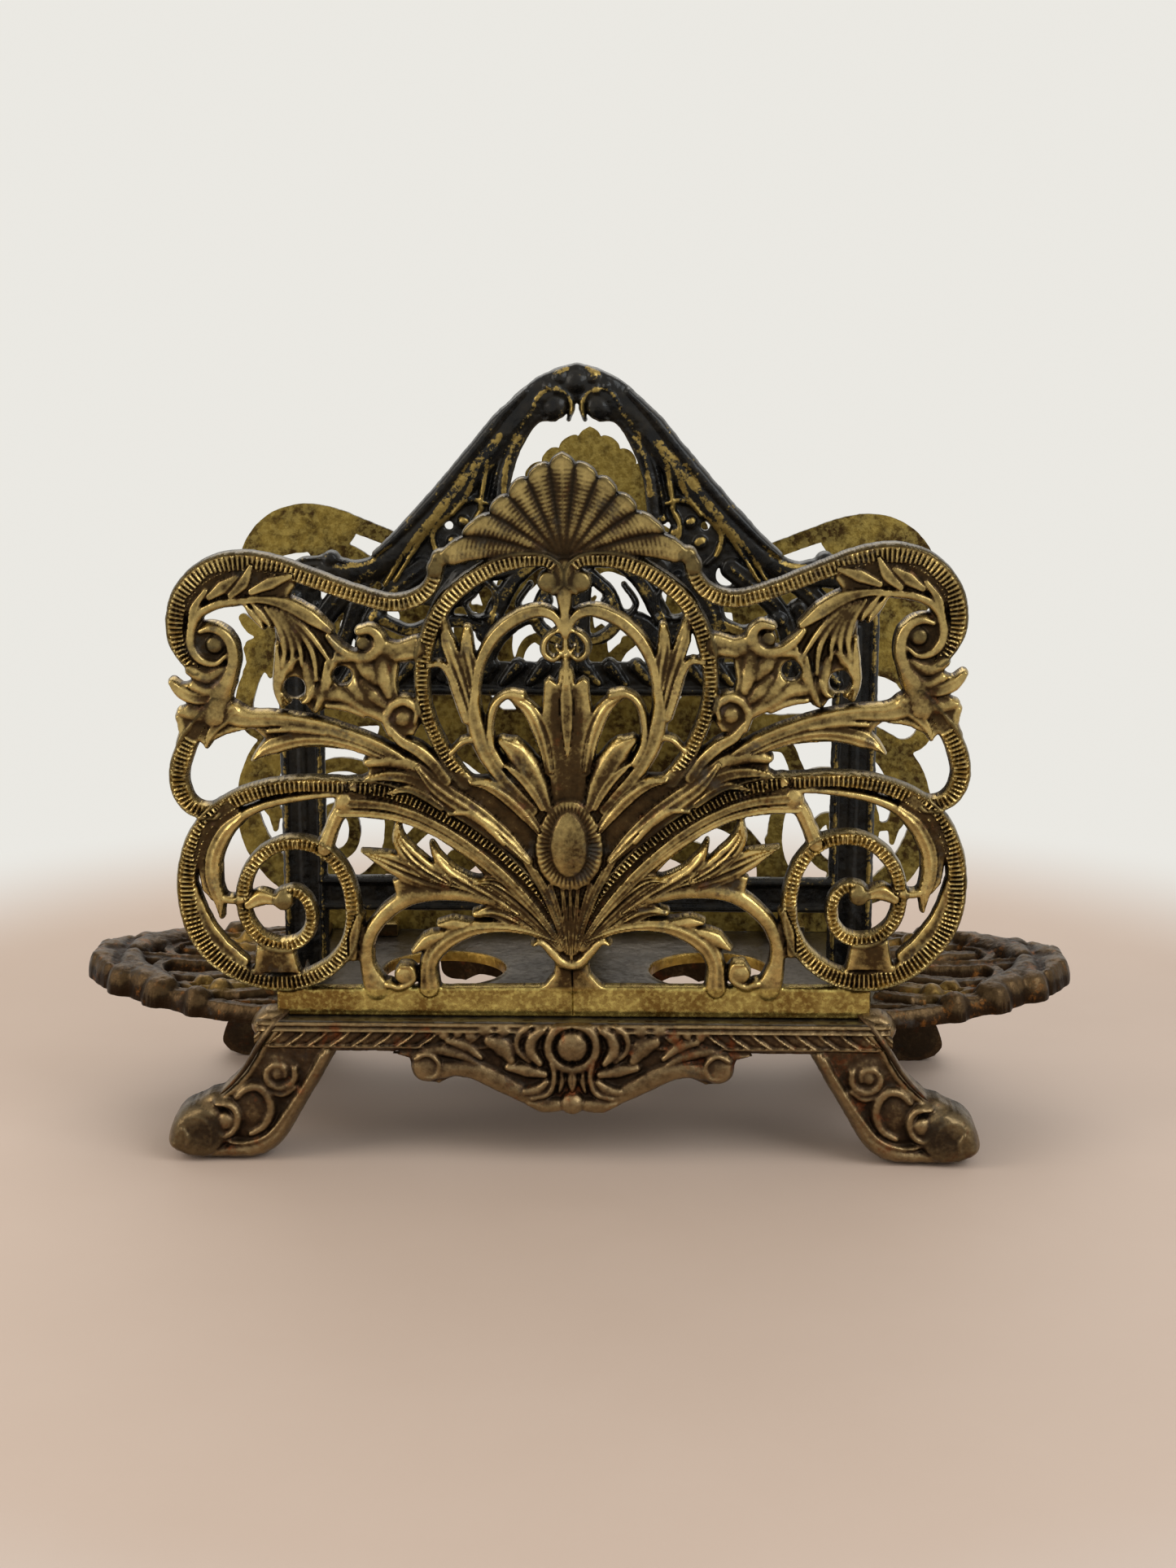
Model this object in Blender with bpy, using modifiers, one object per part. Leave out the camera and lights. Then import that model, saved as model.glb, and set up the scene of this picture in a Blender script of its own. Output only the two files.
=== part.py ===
"""A cast-brass book rack for a lectern or hall table, in millimetres turned into metres.

A footed tray carries two openwork panels and, between them, a lacquered frame that ends in a
carrying handle.  +Z is up, the front panel faces -Y, and the origin is under the middle of the
rack at the height of its feet.
"""
import math

import bmesh
import bpy
import numpy as np
from mathutils import Matrix

MM = 0.001
GAP = 0.3

# the tray and what hangs from it
TRAY_TOP = 43.0
TRAY_THICK = 3.0
TRAY_HALF_LENGTH = 92.0
TRAY_HALF_DEPTH = 52.0
TRAY_CORNER = 6.0
WELL_RADIUS = 18.5
WELL_SIDES = 40
WELL_X = 41.0
APRON_FACE = 54.5
APRON_THICK = 5.0
APRON_BOTTOM = 35.0
CARTOUCHE_BOTTOM = 14.0
END_APRON_THICK = 3.0
HANDLE_TIP = 152.5
HANDLE_THICK = 5.0
HANDLE_DROP = 0.3
HANDLE_RISE = 5.0
LEG_THICK = 12.0
LEG_INSET = 0.5
TOE_X = 118.6

# the two panels
PANEL_THICK = 5.0
PANEL_LEAN = math.radians(2.5)
PANEL_SKEW = math.radians(0.9)
PANEL_INNER = 43.8
STRIP_HEIGHT = 9.4
STRIP_HALF = 86.0
LUG_X = 66.0
LUG_SIZE = (13.0, 9.5, 4.0)
LUG_OVERLAP = 0.8

# the frame between them
FRAME_THICK = 6.0
POST_X = 83.5
POST_WIDTH = 13.5
POST_TOP = 162.0
POST_HOLE_DEPTH = 9.0

# screws from under the tray
SHANK_RADIUS = 1.75
HEAD_RADIUS = 3.7
HEAD_HEIGHT = 2.3
HOLE_RADIUS = SHANK_RADIUS + GAP
SLOT_WIDTH = 0.9
SCREW_SIDES = 16

# how finely the openwork outlines are drawn
CELL = 0.6
FILLET = 0.9
CHORD_ERROR = 0.26
SMALLEST_OPENING = 9.0
STRAND_STEP = 1.6
HANDLE_STEP = 7.0
SHARP_ANGLE = math.radians(35)

TRAY_BOTTOM = TRAY_TOP - TRAY_THICK
PANEL_FOOT = TRAY_TOP + GAP
LUG_Y = PANEL_INNER - LUG_SIZE[1] / 2 + LUG_OVERLAP
PANEL_SCREW_Y = LUG_Y - LUG_OVERLAP

# ---------------------------------------------------------------- ornament of a panel, left half
# Each strand is (points, widths): a smooth line through the points, as wide as the widths say
# from its start to its end.  x is across the panel from its middle, y up from its lower edge.
SCROLL = [(-57, 71.2), (-66, 71.4), (-76, 70.4), (-86, 68), (-94.5, 64.8), (-101.5, 60), (-106.6, 53),
          (-109.6, 44.5), (-110.4, 36), (-109.2, 28), (-105.6, 21), (-99.5, 15), (-91.5, 11.4),
          (-83.5, 10.8), (-76.5, 12.2), (-70.2, 16.2), (-65.6, 22.2), (-63, 29.4), (-63, 37),
          (-65.2, 44.2), (-69.6, 49.6), (-76, 52.6), (-83, 51.8), (-89.2, 48), (-93, 42),
          (-93.8, 35.4), (-91.8, 29.2), (-87.6, 25), (-82.4, 23.6), (-77.6, 25.2), (-74.4, 29),
          (-74, 33.6), (-76.6, 37.4), (-80.6, 38)]

PANEL_STRANDS = [
    # rim of the upper lobe, its leaf tips and the volute under it
    ([(-35, 131), (-36.5, 127.5), (-40.5, 124.5), (-46, 123.2), (-52, 123.8), (-60, 126.8), (-68, 130.2),
      (-77, 133.6), (-86, 135), (-94, 133.8), (-101, 130.3), (-106, 124.5), (-108.6, 117.5),
      (-108.6, 111), (-106, 105.5)], (4.4, 4.8, 5.6, 5.4, 3.6)),
    ([(-103.5, 119), (-97, 127.5), (-86, 129), (-74, 128.6), (-66, 128.6)], (5, 8, 8, 5, 3)),
    ([(-95.5, 91), (-93.8, 96.5), (-91.9, 102), (-91.5, 108), (-93.2, 113.6), (-97.6, 117),
      (-102.3, 115.6), (-104.3, 111.4)], (5.2, 4.2, 3.2)),
    ([(-103.5, 106.5), (-101, 102.5), (-98.5, 98.5), (-98, 93)], (5, 9, 9, 8)),
    ([(-98, 99), (-103, 97.3), (-107.3, 98.2), (-110.6, 100.6)], (4.5, 5.2, 4.2, 1.6)),
    ([(-98, 96), (-103.5, 94), (-108.7, 91.5)], (4.5, 4.5, 1.8)),
    # rim of the lower lobe
    ([(-100.5, 94), (-104.5, 88.5), (-107.4, 82), (-109.6, 75), (-109.8, 68.6), (-106.8, 64.2),
      (-102, 62.4)], (5.6, 4.8, 4.6, 3.6)),
    ([(-97, 89), (-100, 85), (-101.3, 80.8)], (5, 4, 1.4)),
    # the great scroll, its inner leaf and its bracket
    (SCROLL, (4.6, 4.8, 4.8, 4.8, 4.6, 4.2, 3.0)),
    ([(-60, 68.2), (-72, 67.4), (-84, 64.6), (-93, 60.4), (-98.6, 55)], (2.4, 2.6, 3.0, 3.4)),
    ([(-93.5, 61.5), (-98.2, 56.5), (-101.4, 49.5), (-102.6, 42), (-101.6, 36), (-100, 31.6)],
     (3.4, 5.0, 4.6, 1.4)),
    ([(-93, 36), (-89.8, 36.4), (-86.4, 39)], (3.4, 4.0, 2.0)),
    ([(-62, 66.4), (-65.4, 62.4), (-69, 57), (-71.4, 52.4)], (6.6, 5.0, 4.4)),
    # the fan that rises from the foot of the panel
    ([(-60, 70.4), (-52, 69), (-44, 66.2), (-36.5, 62), (-29.5, 56.6), (-23, 50), (-17, 42.6),
      (-11.6, 34.6), (-7, 26.6), (-2.4, 19)], (8, 9, 8, 7, 6, 3)),
    ([(-58.4, 51), (-52, 48), (-45, 44.2), (-37, 41.4), (-28, 39.4), (-19, 34.6), (-11, 28.6), (-3, 20)],
     (1.6, 5.4, 7.4, 6.6, 3.4)),
    ([(-48.4, 59), (-47.2, 53.4), (-43.4, 48), (-37, 43.6), (-29, 41)], (1.4, 5.2, 4.4)),
    ([(-38.8, 52.6), (-36.6, 48.4), (-32.6, 44.4), (-25.6, 41.8)], (1.4, 4.4, 2.4)),
    ([(-27, 42.6), (-20.6, 40), (-14, 34), (-7.6, 26), (-3, 20)], (3.0, 5.0, 3.0)),
    ([(-26.6, 33.4), (-20, 31.6), (-13, 28.2), (-6, 22)], (2.4, 5.0, 4.6, 3.0)),
    ([(-30, 39.4), (-40, 39.8), (-47.5, 38.8)], (5, 5.5, 5)),
    # two arched stems down to the strip, and the pedestal in the middle
    ([(-20, 36), (-28, 37.2), (-37, 37.8), (-45, 36.6), (-52, 32.6), (-57, 26.6), (-59.2, 19.6),
      (-57.6, 13.4), (-55.4, 9)], (3.0, 3.6, 4.0, 3.8, 6.0)),
    ([(-58.5, 29), (-62.5, 24), (-63, 19.6)], (5, 5, 4)),
    ([(-8, 24), (-14, 26.6), (-21, 27.6), (-28, 26.2), (-34.4, 22.8), (-39.4, 18.2), (-41.6, 13),
      (-41, 9)], (2.4, 3.6, 6.0, 6.4)),
    ([(-24, 28), (-31, 28.4), (-38, 28.6)], (2, 3.4, 1.6)),
    ([(-37, 26.6), (-42.5, 23.2), (-46, 20)], (3, 4.4, 1.6)),
    ([(-48.4, 13), (-48.4, 10)], (6.4, 5)),
    ([(-10.4, 22.4), (-7, 20.6), (-3.4, 17), (0, 15.2)], (2.0, 3.6, 3.6)),
    ([(0, 8), (0, 13), (0, 20)], (13, 9, 6)),
    # middle: the oval, the stems beside it and the solid ground between them
    ([(0, 46), (0, 58)], (19, 19)),
    ([(0, 20), (-4, 34), (-8, 45), (-10, 55), (-12, 64)], (5, 10, 14, 18, 14)),
    ([(-12, 60), (-24, 62), (-36, 67)], (14, 15, 10)),
    ([(-5, 22), (-14, 36), (-23, 48), (-33, 58)], (5, 8, 9, 8)),
    # the branch that crosses to the outer rim, with its leaves
    ([(-105, 87.6), (-97, 89.8), (-88, 90.2), (-78, 89.6), (-68, 87.4), (-58, 84.2), (-49, 79.8),
      (-40.6, 74.4), (-32.6, 68.2), (-24.6, 61.6)], (4.6, 4.8, 5.0, 5.8)),
    ([(-52, 84), (-60, 82.4), (-70, 83.2), (-79, 82), (-84.6, 79.8), (-89, 77.2)], (5, 4.0, 4.6, 1.6)),
    ([(-57.6, 75), (-52, 77.2), (-46, 76), (-40, 72)], (1.6, 6.6, 6.0)),
    ([(-51, 69.6), (-46, 71.8), (-40.6, 70.8), (-35, 66.6)], (1.6, 4.6, 4.4)),
    ([(-33, 80.6), (-29, 83.4), (-25.6, 84.4)], (2.4, 3.0, 1.6)),
    ([(-34.4, 77), (-40, 84), (-44, 88.6), (-46, 85), (-45, 80)], (5.0, 6.0, 7, 5)),
    ([(-22, 70.6), (-28, 71.6), (-33, 75), (-36, 79)], (4.4, 5.4, 5)),
    # the acanthus under the upper lobe and its hanging leaf
    ([(-104.4, 113), (-103.6, 118.4), (-99.6, 122.6), (-93, 123.8), (-85.6, 123), (-77.6, 120.4),
      (-70.6, 117.6), (-65, 114.2), (-61.4, 110.2), (-57.6, 108.2)], (2.6, 4.0, 4.6, 3.8, 3.0)),
    ([(-83.5, 122), (-77.5, 116), (-74, 107), (-73, 99)], (3, 10, 15, 12)),
    ([(-86, 122), (-84, 118.6), (-81.4, 116)], (4, 4.2, 2)),
    ([(-79, 104), (-79, 93)], (3.4, 2)),
    ([(-72.4, 91.6), (-70.2, 95.6), (-67.2, 100.4)], (2.6, 3.2, 3.0)),
    ([(-55.4, 111.4), (-55, 111.4)], (8.4, 8.4)),
    ([(-54, 110.6), (-46.6, 110.4), (-41, 112.4)], (4.4, 3.0, 3.4)),
    # curls and pods between the acanthus and the horseshoe
    ([(-45.8, 111.6), (-44.6, 106), (-46.4, 100.4), (-46.2, 94.4)], (3.2, 2.8, 3.4)),
    ([(-66.4, 106.6), (-61, 106.8), (-55, 104.6), (-50, 101), (-47, 96)], (3.0, 3.8, 2.8)),
    ([(-67.4, 101.4), (-61.4, 99.6), (-56.6, 96), (-52.4, 92.6), (-46, 92.6), (-40.4, 92.4)],
     (3.0, 4.2, 6.8, 6.4, 4.8, 5.0)),
    ([(-52, 106.6), (-55, 102), (-53.6, 98.2), (-49.8, 97.4)], (2.6, 3.6, 2.6)),
    ([(-71, 91.4), (-66, 92.8), (-60, 91.2), (-54.4, 89.8)], (2.6, 2.6, 2.6)),
    # the horseshoe, the arch inside it and the leaves on the arch
    ([(-2.2, 128.4), (-1.8, 132), (-5.4, 134.6), (-12, 135), (-19.6, 133), (-26.6, 129.2),
      (-32.4, 123.8), (-36.6, 117), (-38.6, 109.6), (-39, 102), (-38.4, 94.6), (-36.8, 87.6),
      (-34.2, 80.8), (-30.6, 74.6), (-26, 69)], (3.4, 4.4, 4.2, 4.2, 3.4)),
    ([(-3.6, 127), (-3, 127)], (6.4, 6.4)),
    ([(0, 128), (-0.3, 121), (-0.3, 106)], (5.0, 4.6, 6.4)),
    ([(-1.4, 113), (-3.2, 117.4), (-7.2, 120.2), (-12.4, 119.8), (-17.8, 117), (-22, 112.6),
      (-24.8, 106.6), (-26.2, 100), (-26.6, 93.4), (-25.4, 86.4), (-23, 79.4), (-19.2, 72.4),
      (-14, 65.6)], (2.8, 3.8, 3.8, 4.6, 4.0)),
    ([(-3, 109.4), (-2.6, 109.4)], (5.4, 5.4)),
    ([(-27.2, 95), (-29.4, 103), (-31.2, 110), (-33, 117.6)], (2.6, 5.0, 4.6, 1.4)),
    ([(-26, 101), (-25.8, 108), (-27.6, 115.6)], (2.6, 4.2, 1.4)),
    ([(-27.4, 91), (-29.2, 97), (-31.2, 103), (-34, 105.8), (-38, 104.6)], (2.4, 3.4, 2.6)),
    ([(-28, 86), (-30, 82), (-27.6, 77)], (1.8, 3.0, 2)),
    # the loop, the lily in the middle and the leaves beside the oval
    ([(-15.6, 70), (-18.8, 77), (-20.8, 84.6), (-20.8, 91.6), (-18.2, 96.2), (-14.4, 96.8),
      (-10.8, 93.6), (-8, 87.6), (-5.8, 80.4), (-4.4, 72)], (3.0, 2.8, 3.4, 3.6, 3.0)),
    ([(0, 62), (0, 84), (0, 96), (0, 104)], (12, 11.4, 11, 8)),
    ([(-7, 62), (-10.6, 69), (-14.2, 76.4), (-16.4, 83.4), (-19, 86.6)], (6.0, 6.6, 5.4, 1.8)),
    ([(-6, 63), (-7.4, 70), (-9, 76), (-12.6, 82.6)], (4, 4.4, 1.6)),
    ([(-9, 60), (-13.6, 65.4), (-18, 70), (-24.6, 73.4)], (5.0, 4.6, 2.0)),
]
SCROLL_PAD = [(-90.2, 23), (-80.2, 21.5), (-77.8, 12), (-92, 12)]
LOBE_BALL = (-35.2, 131.6, 2.9)
SCROLL_EYE = (-81.6, 35.6, 2.9)
VOLUTE_EYE = (-98.6, 111.4, 7.0)
LEAF_HOLE = (-75.8, 98.2, 3.1)

# the shell: its radius at some angles from the upright, in degrees
SHELL_CENTRE = (0.0, 133.0)
SHELL_REACH = [(0, 30.2), (12, 28.0), (25, 26.4), (40, 25.4), (55, 25.8), (65, 27.6), (75, 30.4), (86, 33.6)]
SHELL_FLUTES = 11
SHELL_SCALLOP = 1.9

# ------------------------------------------------------- ornament of the handle frame, left half
# Here x is across from the middle and y is the height above the feet.
FRAME_STRANDS = [
    ([(0, 221.6), (-7, 220.6), (-13, 216.6), (-20, 209.4), (-27, 201), (-35, 191.8), (-43, 183),
      (-51, 175), (-58, 169.4), (-66, 166.4), (-75, 166)], (10.5, 10, 8, 6.5, 7.5)),
    ([(-2.5, 224.5), (0, 225)], (7.2, 7.2)),
    ([(-5.6, 215.6), (-6, 215.6)], (7.6, 7.6)),
    ([(-7, 213.6), (-10.4, 212.4)], (3.4, 1.6)),
    ([(-11, 215), (-15.6, 209.4), (-19.6, 202), (-21.8, 194), (-22.8, 185), (-23.4, 172)],
     (6, 5, 4.6, 4.8, 5)),
    ([(-19, 208), (-27, 196), (-33, 184), (-38, 174), (-44, 164)], (5, 8, 12, 14, 16)),
    ([(-24, 202), (-34, 188), (-45, 177), (-56, 166)], (3, 6, 7, 8)),
    ([(-20, 180), (-27, 172), (-36, 162)], (4, 12, 12)),
    ([(0, 170), (-12, 170), (-24, 168)], (4, 4.5, 8)),
    ([(0, 167), (0, 140)], (9, 7)),
    ([(-4, 166), (-10, 160), (-12, 152), (-7, 147), (0, 146)], (4, 4, 4, 4, 3)),
    ([(-12, 154), (-20, 151), (-26, 144), (-28, 136)], (4, 6, 6, 6)),
    ([(-12, 170), (-19, 164), (-24, 156), (-28, 148)], (4, 5, 6, 5)),
    ([(-34, 164), (-40, 156), (-42, 146), (-40, 136)], (8, 7, 6, 6)),
    ([(-28, 150), (-36, 152), (-44, 150)], (4, 4, 4)),
    ([(-46, 168), (-56, 160), (-62, 152), (-64, 142), (-62, 134)], (7, 7, 6, 6, 6)),
    ([(-42, 152), (-50, 149), (-58, 152)], (4, 4, 4)),
    ([(-60, 168), (-70, 160), (-78, 150)], (7, 7, 7)),
    ([(-66, 156), (-70, 146), (-74, 138)], (6, 5, 6)),
    ([(-77, 134.5), (-50, 134.5), (-25, 134.5), (0, 134.5)], (10, 10, 10, 10)),
    ([(-77, 67.5), (0, 67.5)], (10.5, 10.5)),
    ([(-76, 166), (-83, 163.4), (-85, 158)], (7, 9, 12)),
    ([(-88, 166), (-82, 168.4), (-74, 169), (-66, 168.6)], (3, 5, 5, 2.6)),
]
FRAME_HOLE = (-44.6, 166.0, 3.3)
POST = [(-POST_X - POST_WIDTH / 2, TRAY_TOP + GAP), (-POST_X + POST_WIDTH / 2, TRAY_TOP + GAP),
        (-POST_X + POST_WIDTH / 2, POST_TOP), (-POST_X - POST_WIDTH / 2, POST_TOP)]

# ------------------------------------------------------------------ outlines of the base casting
LEG = [(68, 36.4), (70, 41), (92.5, 41), (97, 35), (103.6, 26), (108.6, 19), (114, 15.4), (117.6, 10.4),
       (TOE_X, 5), (TOE_X - 1.4, 0), (92.4, 0), (87.8, 2.6), (84.6, 9), (79.2, 18), (74, 27)]
CARTOUCHE = [(74, APRON_BOTTOM), (49, 34.4), (48.6, 29), (44, 24.8), (39, 25.6), (34, 29.4), (28, 27.4),
             (21, 21.6), (12, 17.6), (6, CARTOUCHE_BOTTOM + 0.7), (0, CARTOUCHE_BOTTOM)]
HANDLE = [(89, 46), (96, 44), (104, 41), (112, 37.4), (120, 32.6), (128, 26), (135, 21.6), (141, 18),
          (146, 11), (150.4, 8), (HANDLE_TIP, 4.5), (HANDLE_TIP, 0)]


def smooth_line(points, step):
    """Points about step apart along a Catmull-Rom line through the given ones, and their run."""
    p = np.array(points, float)
    p = np.vstack([2 * p[0] - p[1], p, 2 * p[-1] - p[-2]])
    pieces = []
    for a, b, c, d in zip(p, p[1:], p[2:], p[3:]):
        count = max(2, int(np.hypot(*(c - b)) / step) + 1)
        t = np.linspace(0, 1, count, endpoint=False)[:, None]
        pieces.append(0.5 * (2 * b + (c - a) * t + (2 * a - 5 * b + 4 * c - d) * t ** 2
                             + (3 * b - a - 3 * c + d) * t ** 3))
    line = np.vstack(pieces + [p[-2][None]])
    run = np.concatenate([[0], np.cumsum(np.hypot(*np.diff(line, axis=0).T))])
    return line, run


class Plan:
    """The plan of a flat casting, as a distance to its edge on a grid: negative is metal."""

    def __init__(self, x_min, x_max, y_min, y_max):
        self.x = np.arange(x_min, x_max + CELL / 2, CELL)
        self.y = np.arange(y_min, y_max + CELL / 2, CELL)
        self.xx, self.yy = np.meshgrid(self.x, self.y)
        self.edge = np.full(self.xx.shape, 20.0)

    def join(self, distance):
        """Adds a shape, with a small fillet where it meets what is there."""
        mix = np.clip(0.5 + 0.5 * (self.edge - distance) / FILLET, 0, 1)
        self.edge = self.edge * (1 - mix) + distance * mix - FILLET * mix * (1 - mix)

    def strand(self, points, widths):
        """Adds a band along a smooth line; the widths are spaced evenly along it."""
        line, run = smooth_line(points, STRAND_STEP)
        half = np.interp(run / run[-1], np.linspace(0, 1, len(widths)), widths) / 2
        nearest = np.full(self.xx.shape, 20.0)
        for i in range(len(line) - 1):
            (ax, ay), (bx, by) = line[i], line[i + 1]
            dx, dy = bx - ax, by - ay
            reach = max(half[i], half[i + 1]) + 3
            cols = slice(*np.searchsorted(self.x, [min(ax, bx) - reach, max(ax, bx) + reach]))
            rows = slice(*np.searchsorted(self.y, [min(ay, by) - reach, max(ay, by) + reach]))
            px, py = self.xx[rows, cols] - ax, self.yy[rows, cols] - ay
            t = np.clip((px * dx + py * dy) / (dx * dx + dy * dy), 0, 1)
            gap = np.hypot(px - t * dx, py - t * dy) - half[i] - t * (half[i + 1] - half[i])
            nearest[rows, cols] = np.minimum(nearest[rows, cols], gap)
        self.join(nearest)

    def disc(self, cx, cy, radius):
        self.join(np.hypot(self.xx - cx, self.yy - cy) - radius)

    def polygon(self, corners):
        """Adds a straight-sided shape."""
        distance = np.full(self.xx.shape, 1e9)
        inside = np.zeros(self.xx.shape, bool)
        for (ax, ay), (bx, by) in zip(corners, corners[1:] + corners[:1]):
            dx, dy = bx - ax, by - ay
            px, py = self.xx - ax, self.yy - ay
            t = np.clip((px * dx + py * dy) / (dx * dx + dy * dy), 0, 1)
            distance = np.minimum(distance, np.hypot(px - t * dx, py - t * dy))
            if ay != by:
                crosses = (ay > self.yy) != (by > self.yy)
                inside ^= crosses & (self.xx < dx * (self.yy - ay) / dy + ax)
        self.join(np.where(inside, -distance, distance))

    def hole(self, cx, cy, radius):
        self.edge = np.maximum(self.edge, radius - np.hypot(self.xx - cx, self.yy - cy))

    def mirrored(self):
        """The whole plan, from a left half that ends at x = 0."""
        whole = Plan(self.x[0], -self.x[0], self.y[0], self.y[-1])
        whole.edge = np.hstack([self.edge, self.edge[:, -2::-1]])
        return whole

    def outlines(self):
        """Closed outlines of the metal and of its openings, thinned to the chord error."""
        solid = self.edge < 0
        after = {}
        points = {}
        for j, i in np.argwhere(self.cells_on_the_edge(solid)):
            for start, end in self.crossings(solid, i, j):
                after[start] = end
                for key in (start, end):
                    if key not in points:
                        points[key] = self.crossing_point(key)
        loops = []
        while after:
            first, key = after.popitem()
            loop = [first]
            while key != first:
                loop.append(key)
                key = after.pop(key)
            corners = np.array([points[k] for k in loop])
            if abs(area(corners)) >= SMALLEST_OPENING:
                loops.append(thin(corners))
        return loops

    @staticmethod
    def cells_on_the_edge(solid):
        count = (solid[:-1, :-1].astype(int) + solid[:-1, 1:] + solid[1:, :-1] + solid[1:, 1:])
        return (count > 0) & (count < 4)

    @staticmethod
    def crossings(solid, i, j):
        """The steps of the outline through one cell, with metal on the left of each step."""
        ring = [(i, j), (i + 1, j), (i + 1, j + 1), (i, j + 1)]
        leaving, entering = [], []
        for k in range(4):
            a, b = ring[k], ring[(k + 1) % 4]
            inside_a, inside_b = solid[a[1], a[0]], solid[b[1], b[0]]
            if inside_a and not inside_b:
                leaving.append(tuple(sorted((a, b))))
            if inside_b and not inside_a:
                entering.append(tuple(sorted((a, b))))
        if len(leaving) == 2 and not solid[j, i]:
            entering = entering[1:] + entering[:1]
        return list(zip(leaving, entering))

    def crossing_point(self, key):
        """Where the edge of the metal crosses the grid line between two grid points."""
        (i0, j0), (i1, j1) = key
        a, b = self.edge[j0, i0], self.edge[j1, i1]
        t = min(max(a / (a - b), 0.08), 0.92)
        return (self.x[i0] + t * (self.x[i1] - self.x[i0]), self.y[j0] + t * (self.y[j1] - self.y[j0]))


def area(corners):
    x, y = corners.T
    return 0.5 * float(np.dot(x, np.roll(y, -1)) - np.dot(y, np.roll(x, -1)))


def thin(loop):
    """Drops the points of a closed outline that lie within the chord error of straight runs."""
    far = int(np.argmax(np.hypot(*(loop - loop[0]).T)))
    halves = (loop[:far + 1], np.vstack([loop[far:], loop[:1]]))
    kept = [thin_run(half)[:-1] for half in halves]
    return np.vstack(kept)


def thin_run(run):
    """The Douglas-Peucker rule on an open run of points."""
    chord = run[-1] - run[0]
    length = max(np.hypot(*chord), 1e-9)
    off = np.abs(chord[0] * (run[:, 1] - run[0, 1]) - chord[1] * (run[:, 0] - run[0, 0])) / length
    if length < 1e-6:
        off = np.hypot(*(run - run[0]).T)
    worst = int(np.argmax(off))
    if off[worst] < CHORD_ERROR or len(run) < 3:
        return run[[0, -1]]
    return np.vstack([thin_run(run[:worst + 1])[:-1], thin_run(run[worst:])])


def panel_plan():
    """The plan of a panel: strands, shell, strip and pad."""
    plan = Plan(-114.0, 0.0, -1.2, 164.4)
    for points, widths in PANEL_STRANDS:
        plan.strand(points, widths)
    for ball in (LOBE_BALL, SCROLL_EYE, VOLUTE_EYE):
        plan.disc(*ball)
    plan.polygon(SCROLL_PAD)
    plan.polygon([(-STRIP_HALF, 0), (6, 0), (6, STRIP_HEIGHT), (-STRIP_HALF, STRIP_HEIGHT)])
    plan.hole(*LEAF_HOLE)
    add_shell(plan)
    return plan.mirrored()


def add_shell(plan):
    """The scalloped fan at the top of a panel."""
    x, y = plan.xx - SHELL_CENTRE[0], plan.yy - SHELL_CENTRE[1]
    tilt = np.degrees(np.arctan2(np.abs(x), y))
    angles, radii = zip(*SHELL_REACH)
    reach = np.interp(tilt, angles, radii)
    flute = tilt / (2 * angles[-1] / SHELL_FLUTES) + 0.5
    across = 2 * (flute - np.floor(flute)) - 1
    reach = reach - SHELL_SCALLOP * (1 - np.sqrt(1 - across ** 2 * 0.98))
    plan.join(np.maximum(np.hypot(x, y) - reach, (tilt - angles[-1]) * 0.5))


def frame_plan():
    """The plan of the handle frame: strands and posts."""
    plan = Plan(-93.0, 0.0, TRAY_TOP - 1.2, 230.4)
    for points, widths in FRAME_STRANDS:
        plan.strand(points, widths)
    plan.polygon(POST)
    plan.hole(*FRAME_HOLE)
    return plan.mirrored()


# ------------------------------------------------------------------------- solids from outlines
def collection(name):
    found = bpy.data.collections.new(name)
    bpy.context.scene.collection.children.link(found)
    return found


def metal(name, colour, roughness):
    """A plain metal for a casting or a screw."""
    found = bpy.data.materials.new(name)
    found.use_nodes = True
    shader = found.node_tree.nodes["Principled BSDF"]
    shader.inputs["Base Color"].default_value = (*colour, 1.0)
    shader.inputs["Metallic"].default_value = 1.0
    shader.inputs["Roughness"].default_value = roughness
    return found


def curve_solid(name, loops, thickness):
    """A flat plate: filled outlines in the XY plane, extruded evenly about it, as a mesh."""
    data = bpy.data.curves.new(name, "CURVE")
    data.dimensions = "2D"
    data.fill_mode = "BOTH"
    data.extrude = thickness / 2 * MM
    data.render_resolution_u = 0
    for loop in loops:
        spline = data.splines.new("POLY")
        spline.points.add(len(loop) - 1)
        for point, (x, y) in zip(spline.points, loop):
            point.co = (x * MM, y * MM, 0.0, 1.0)
        spline.use_cyclic_u = True
    return curve_to_mesh(name, data)


def curve_to_mesh(name, data):
    """Turns a curve into a mesh object whose caps are welded to its sides."""
    source = bpy.data.objects.new(name + "_outline", data)
    bpy.context.scene.collection.objects.link(source)
    bpy.context.view_layer.update()
    evaluated = source.evaluated_get(bpy.context.evaluated_depsgraph_get())
    mesh = bpy.data.meshes.new_from_object(evaluated)
    bpy.data.objects.remove(source)
    mesh.name = name
    work = bmesh.new()
    work.from_mesh(mesh)
    bmesh.ops.remove_doubles(work, verts=work.verts, dist=1e-6)
    bmesh.ops.recalc_face_normals(work, faces=work.faces)
    work.to_mesh(mesh)
    work.free()
    return bpy.data.objects.new(name, mesh)


def cylinder(name, radius, low, high, x, y, sides=20):
    """An upright cylinder between two heights."""
    mesh = bpy.data.meshes.new(name)
    work = bmesh.new()
    bmesh.ops.create_cone(work, cap_ends=True, segments=sides, radius1=radius * MM, radius2=radius * MM,
                          depth=(high - low) * MM)
    bmesh.ops.translate(work, verts=work.verts, vec=(x * MM, y * MM, (low + high) / 2 * MM))
    work.to_mesh(mesh)
    work.free()
    return bpy.data.objects.new(name, mesh)


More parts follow.
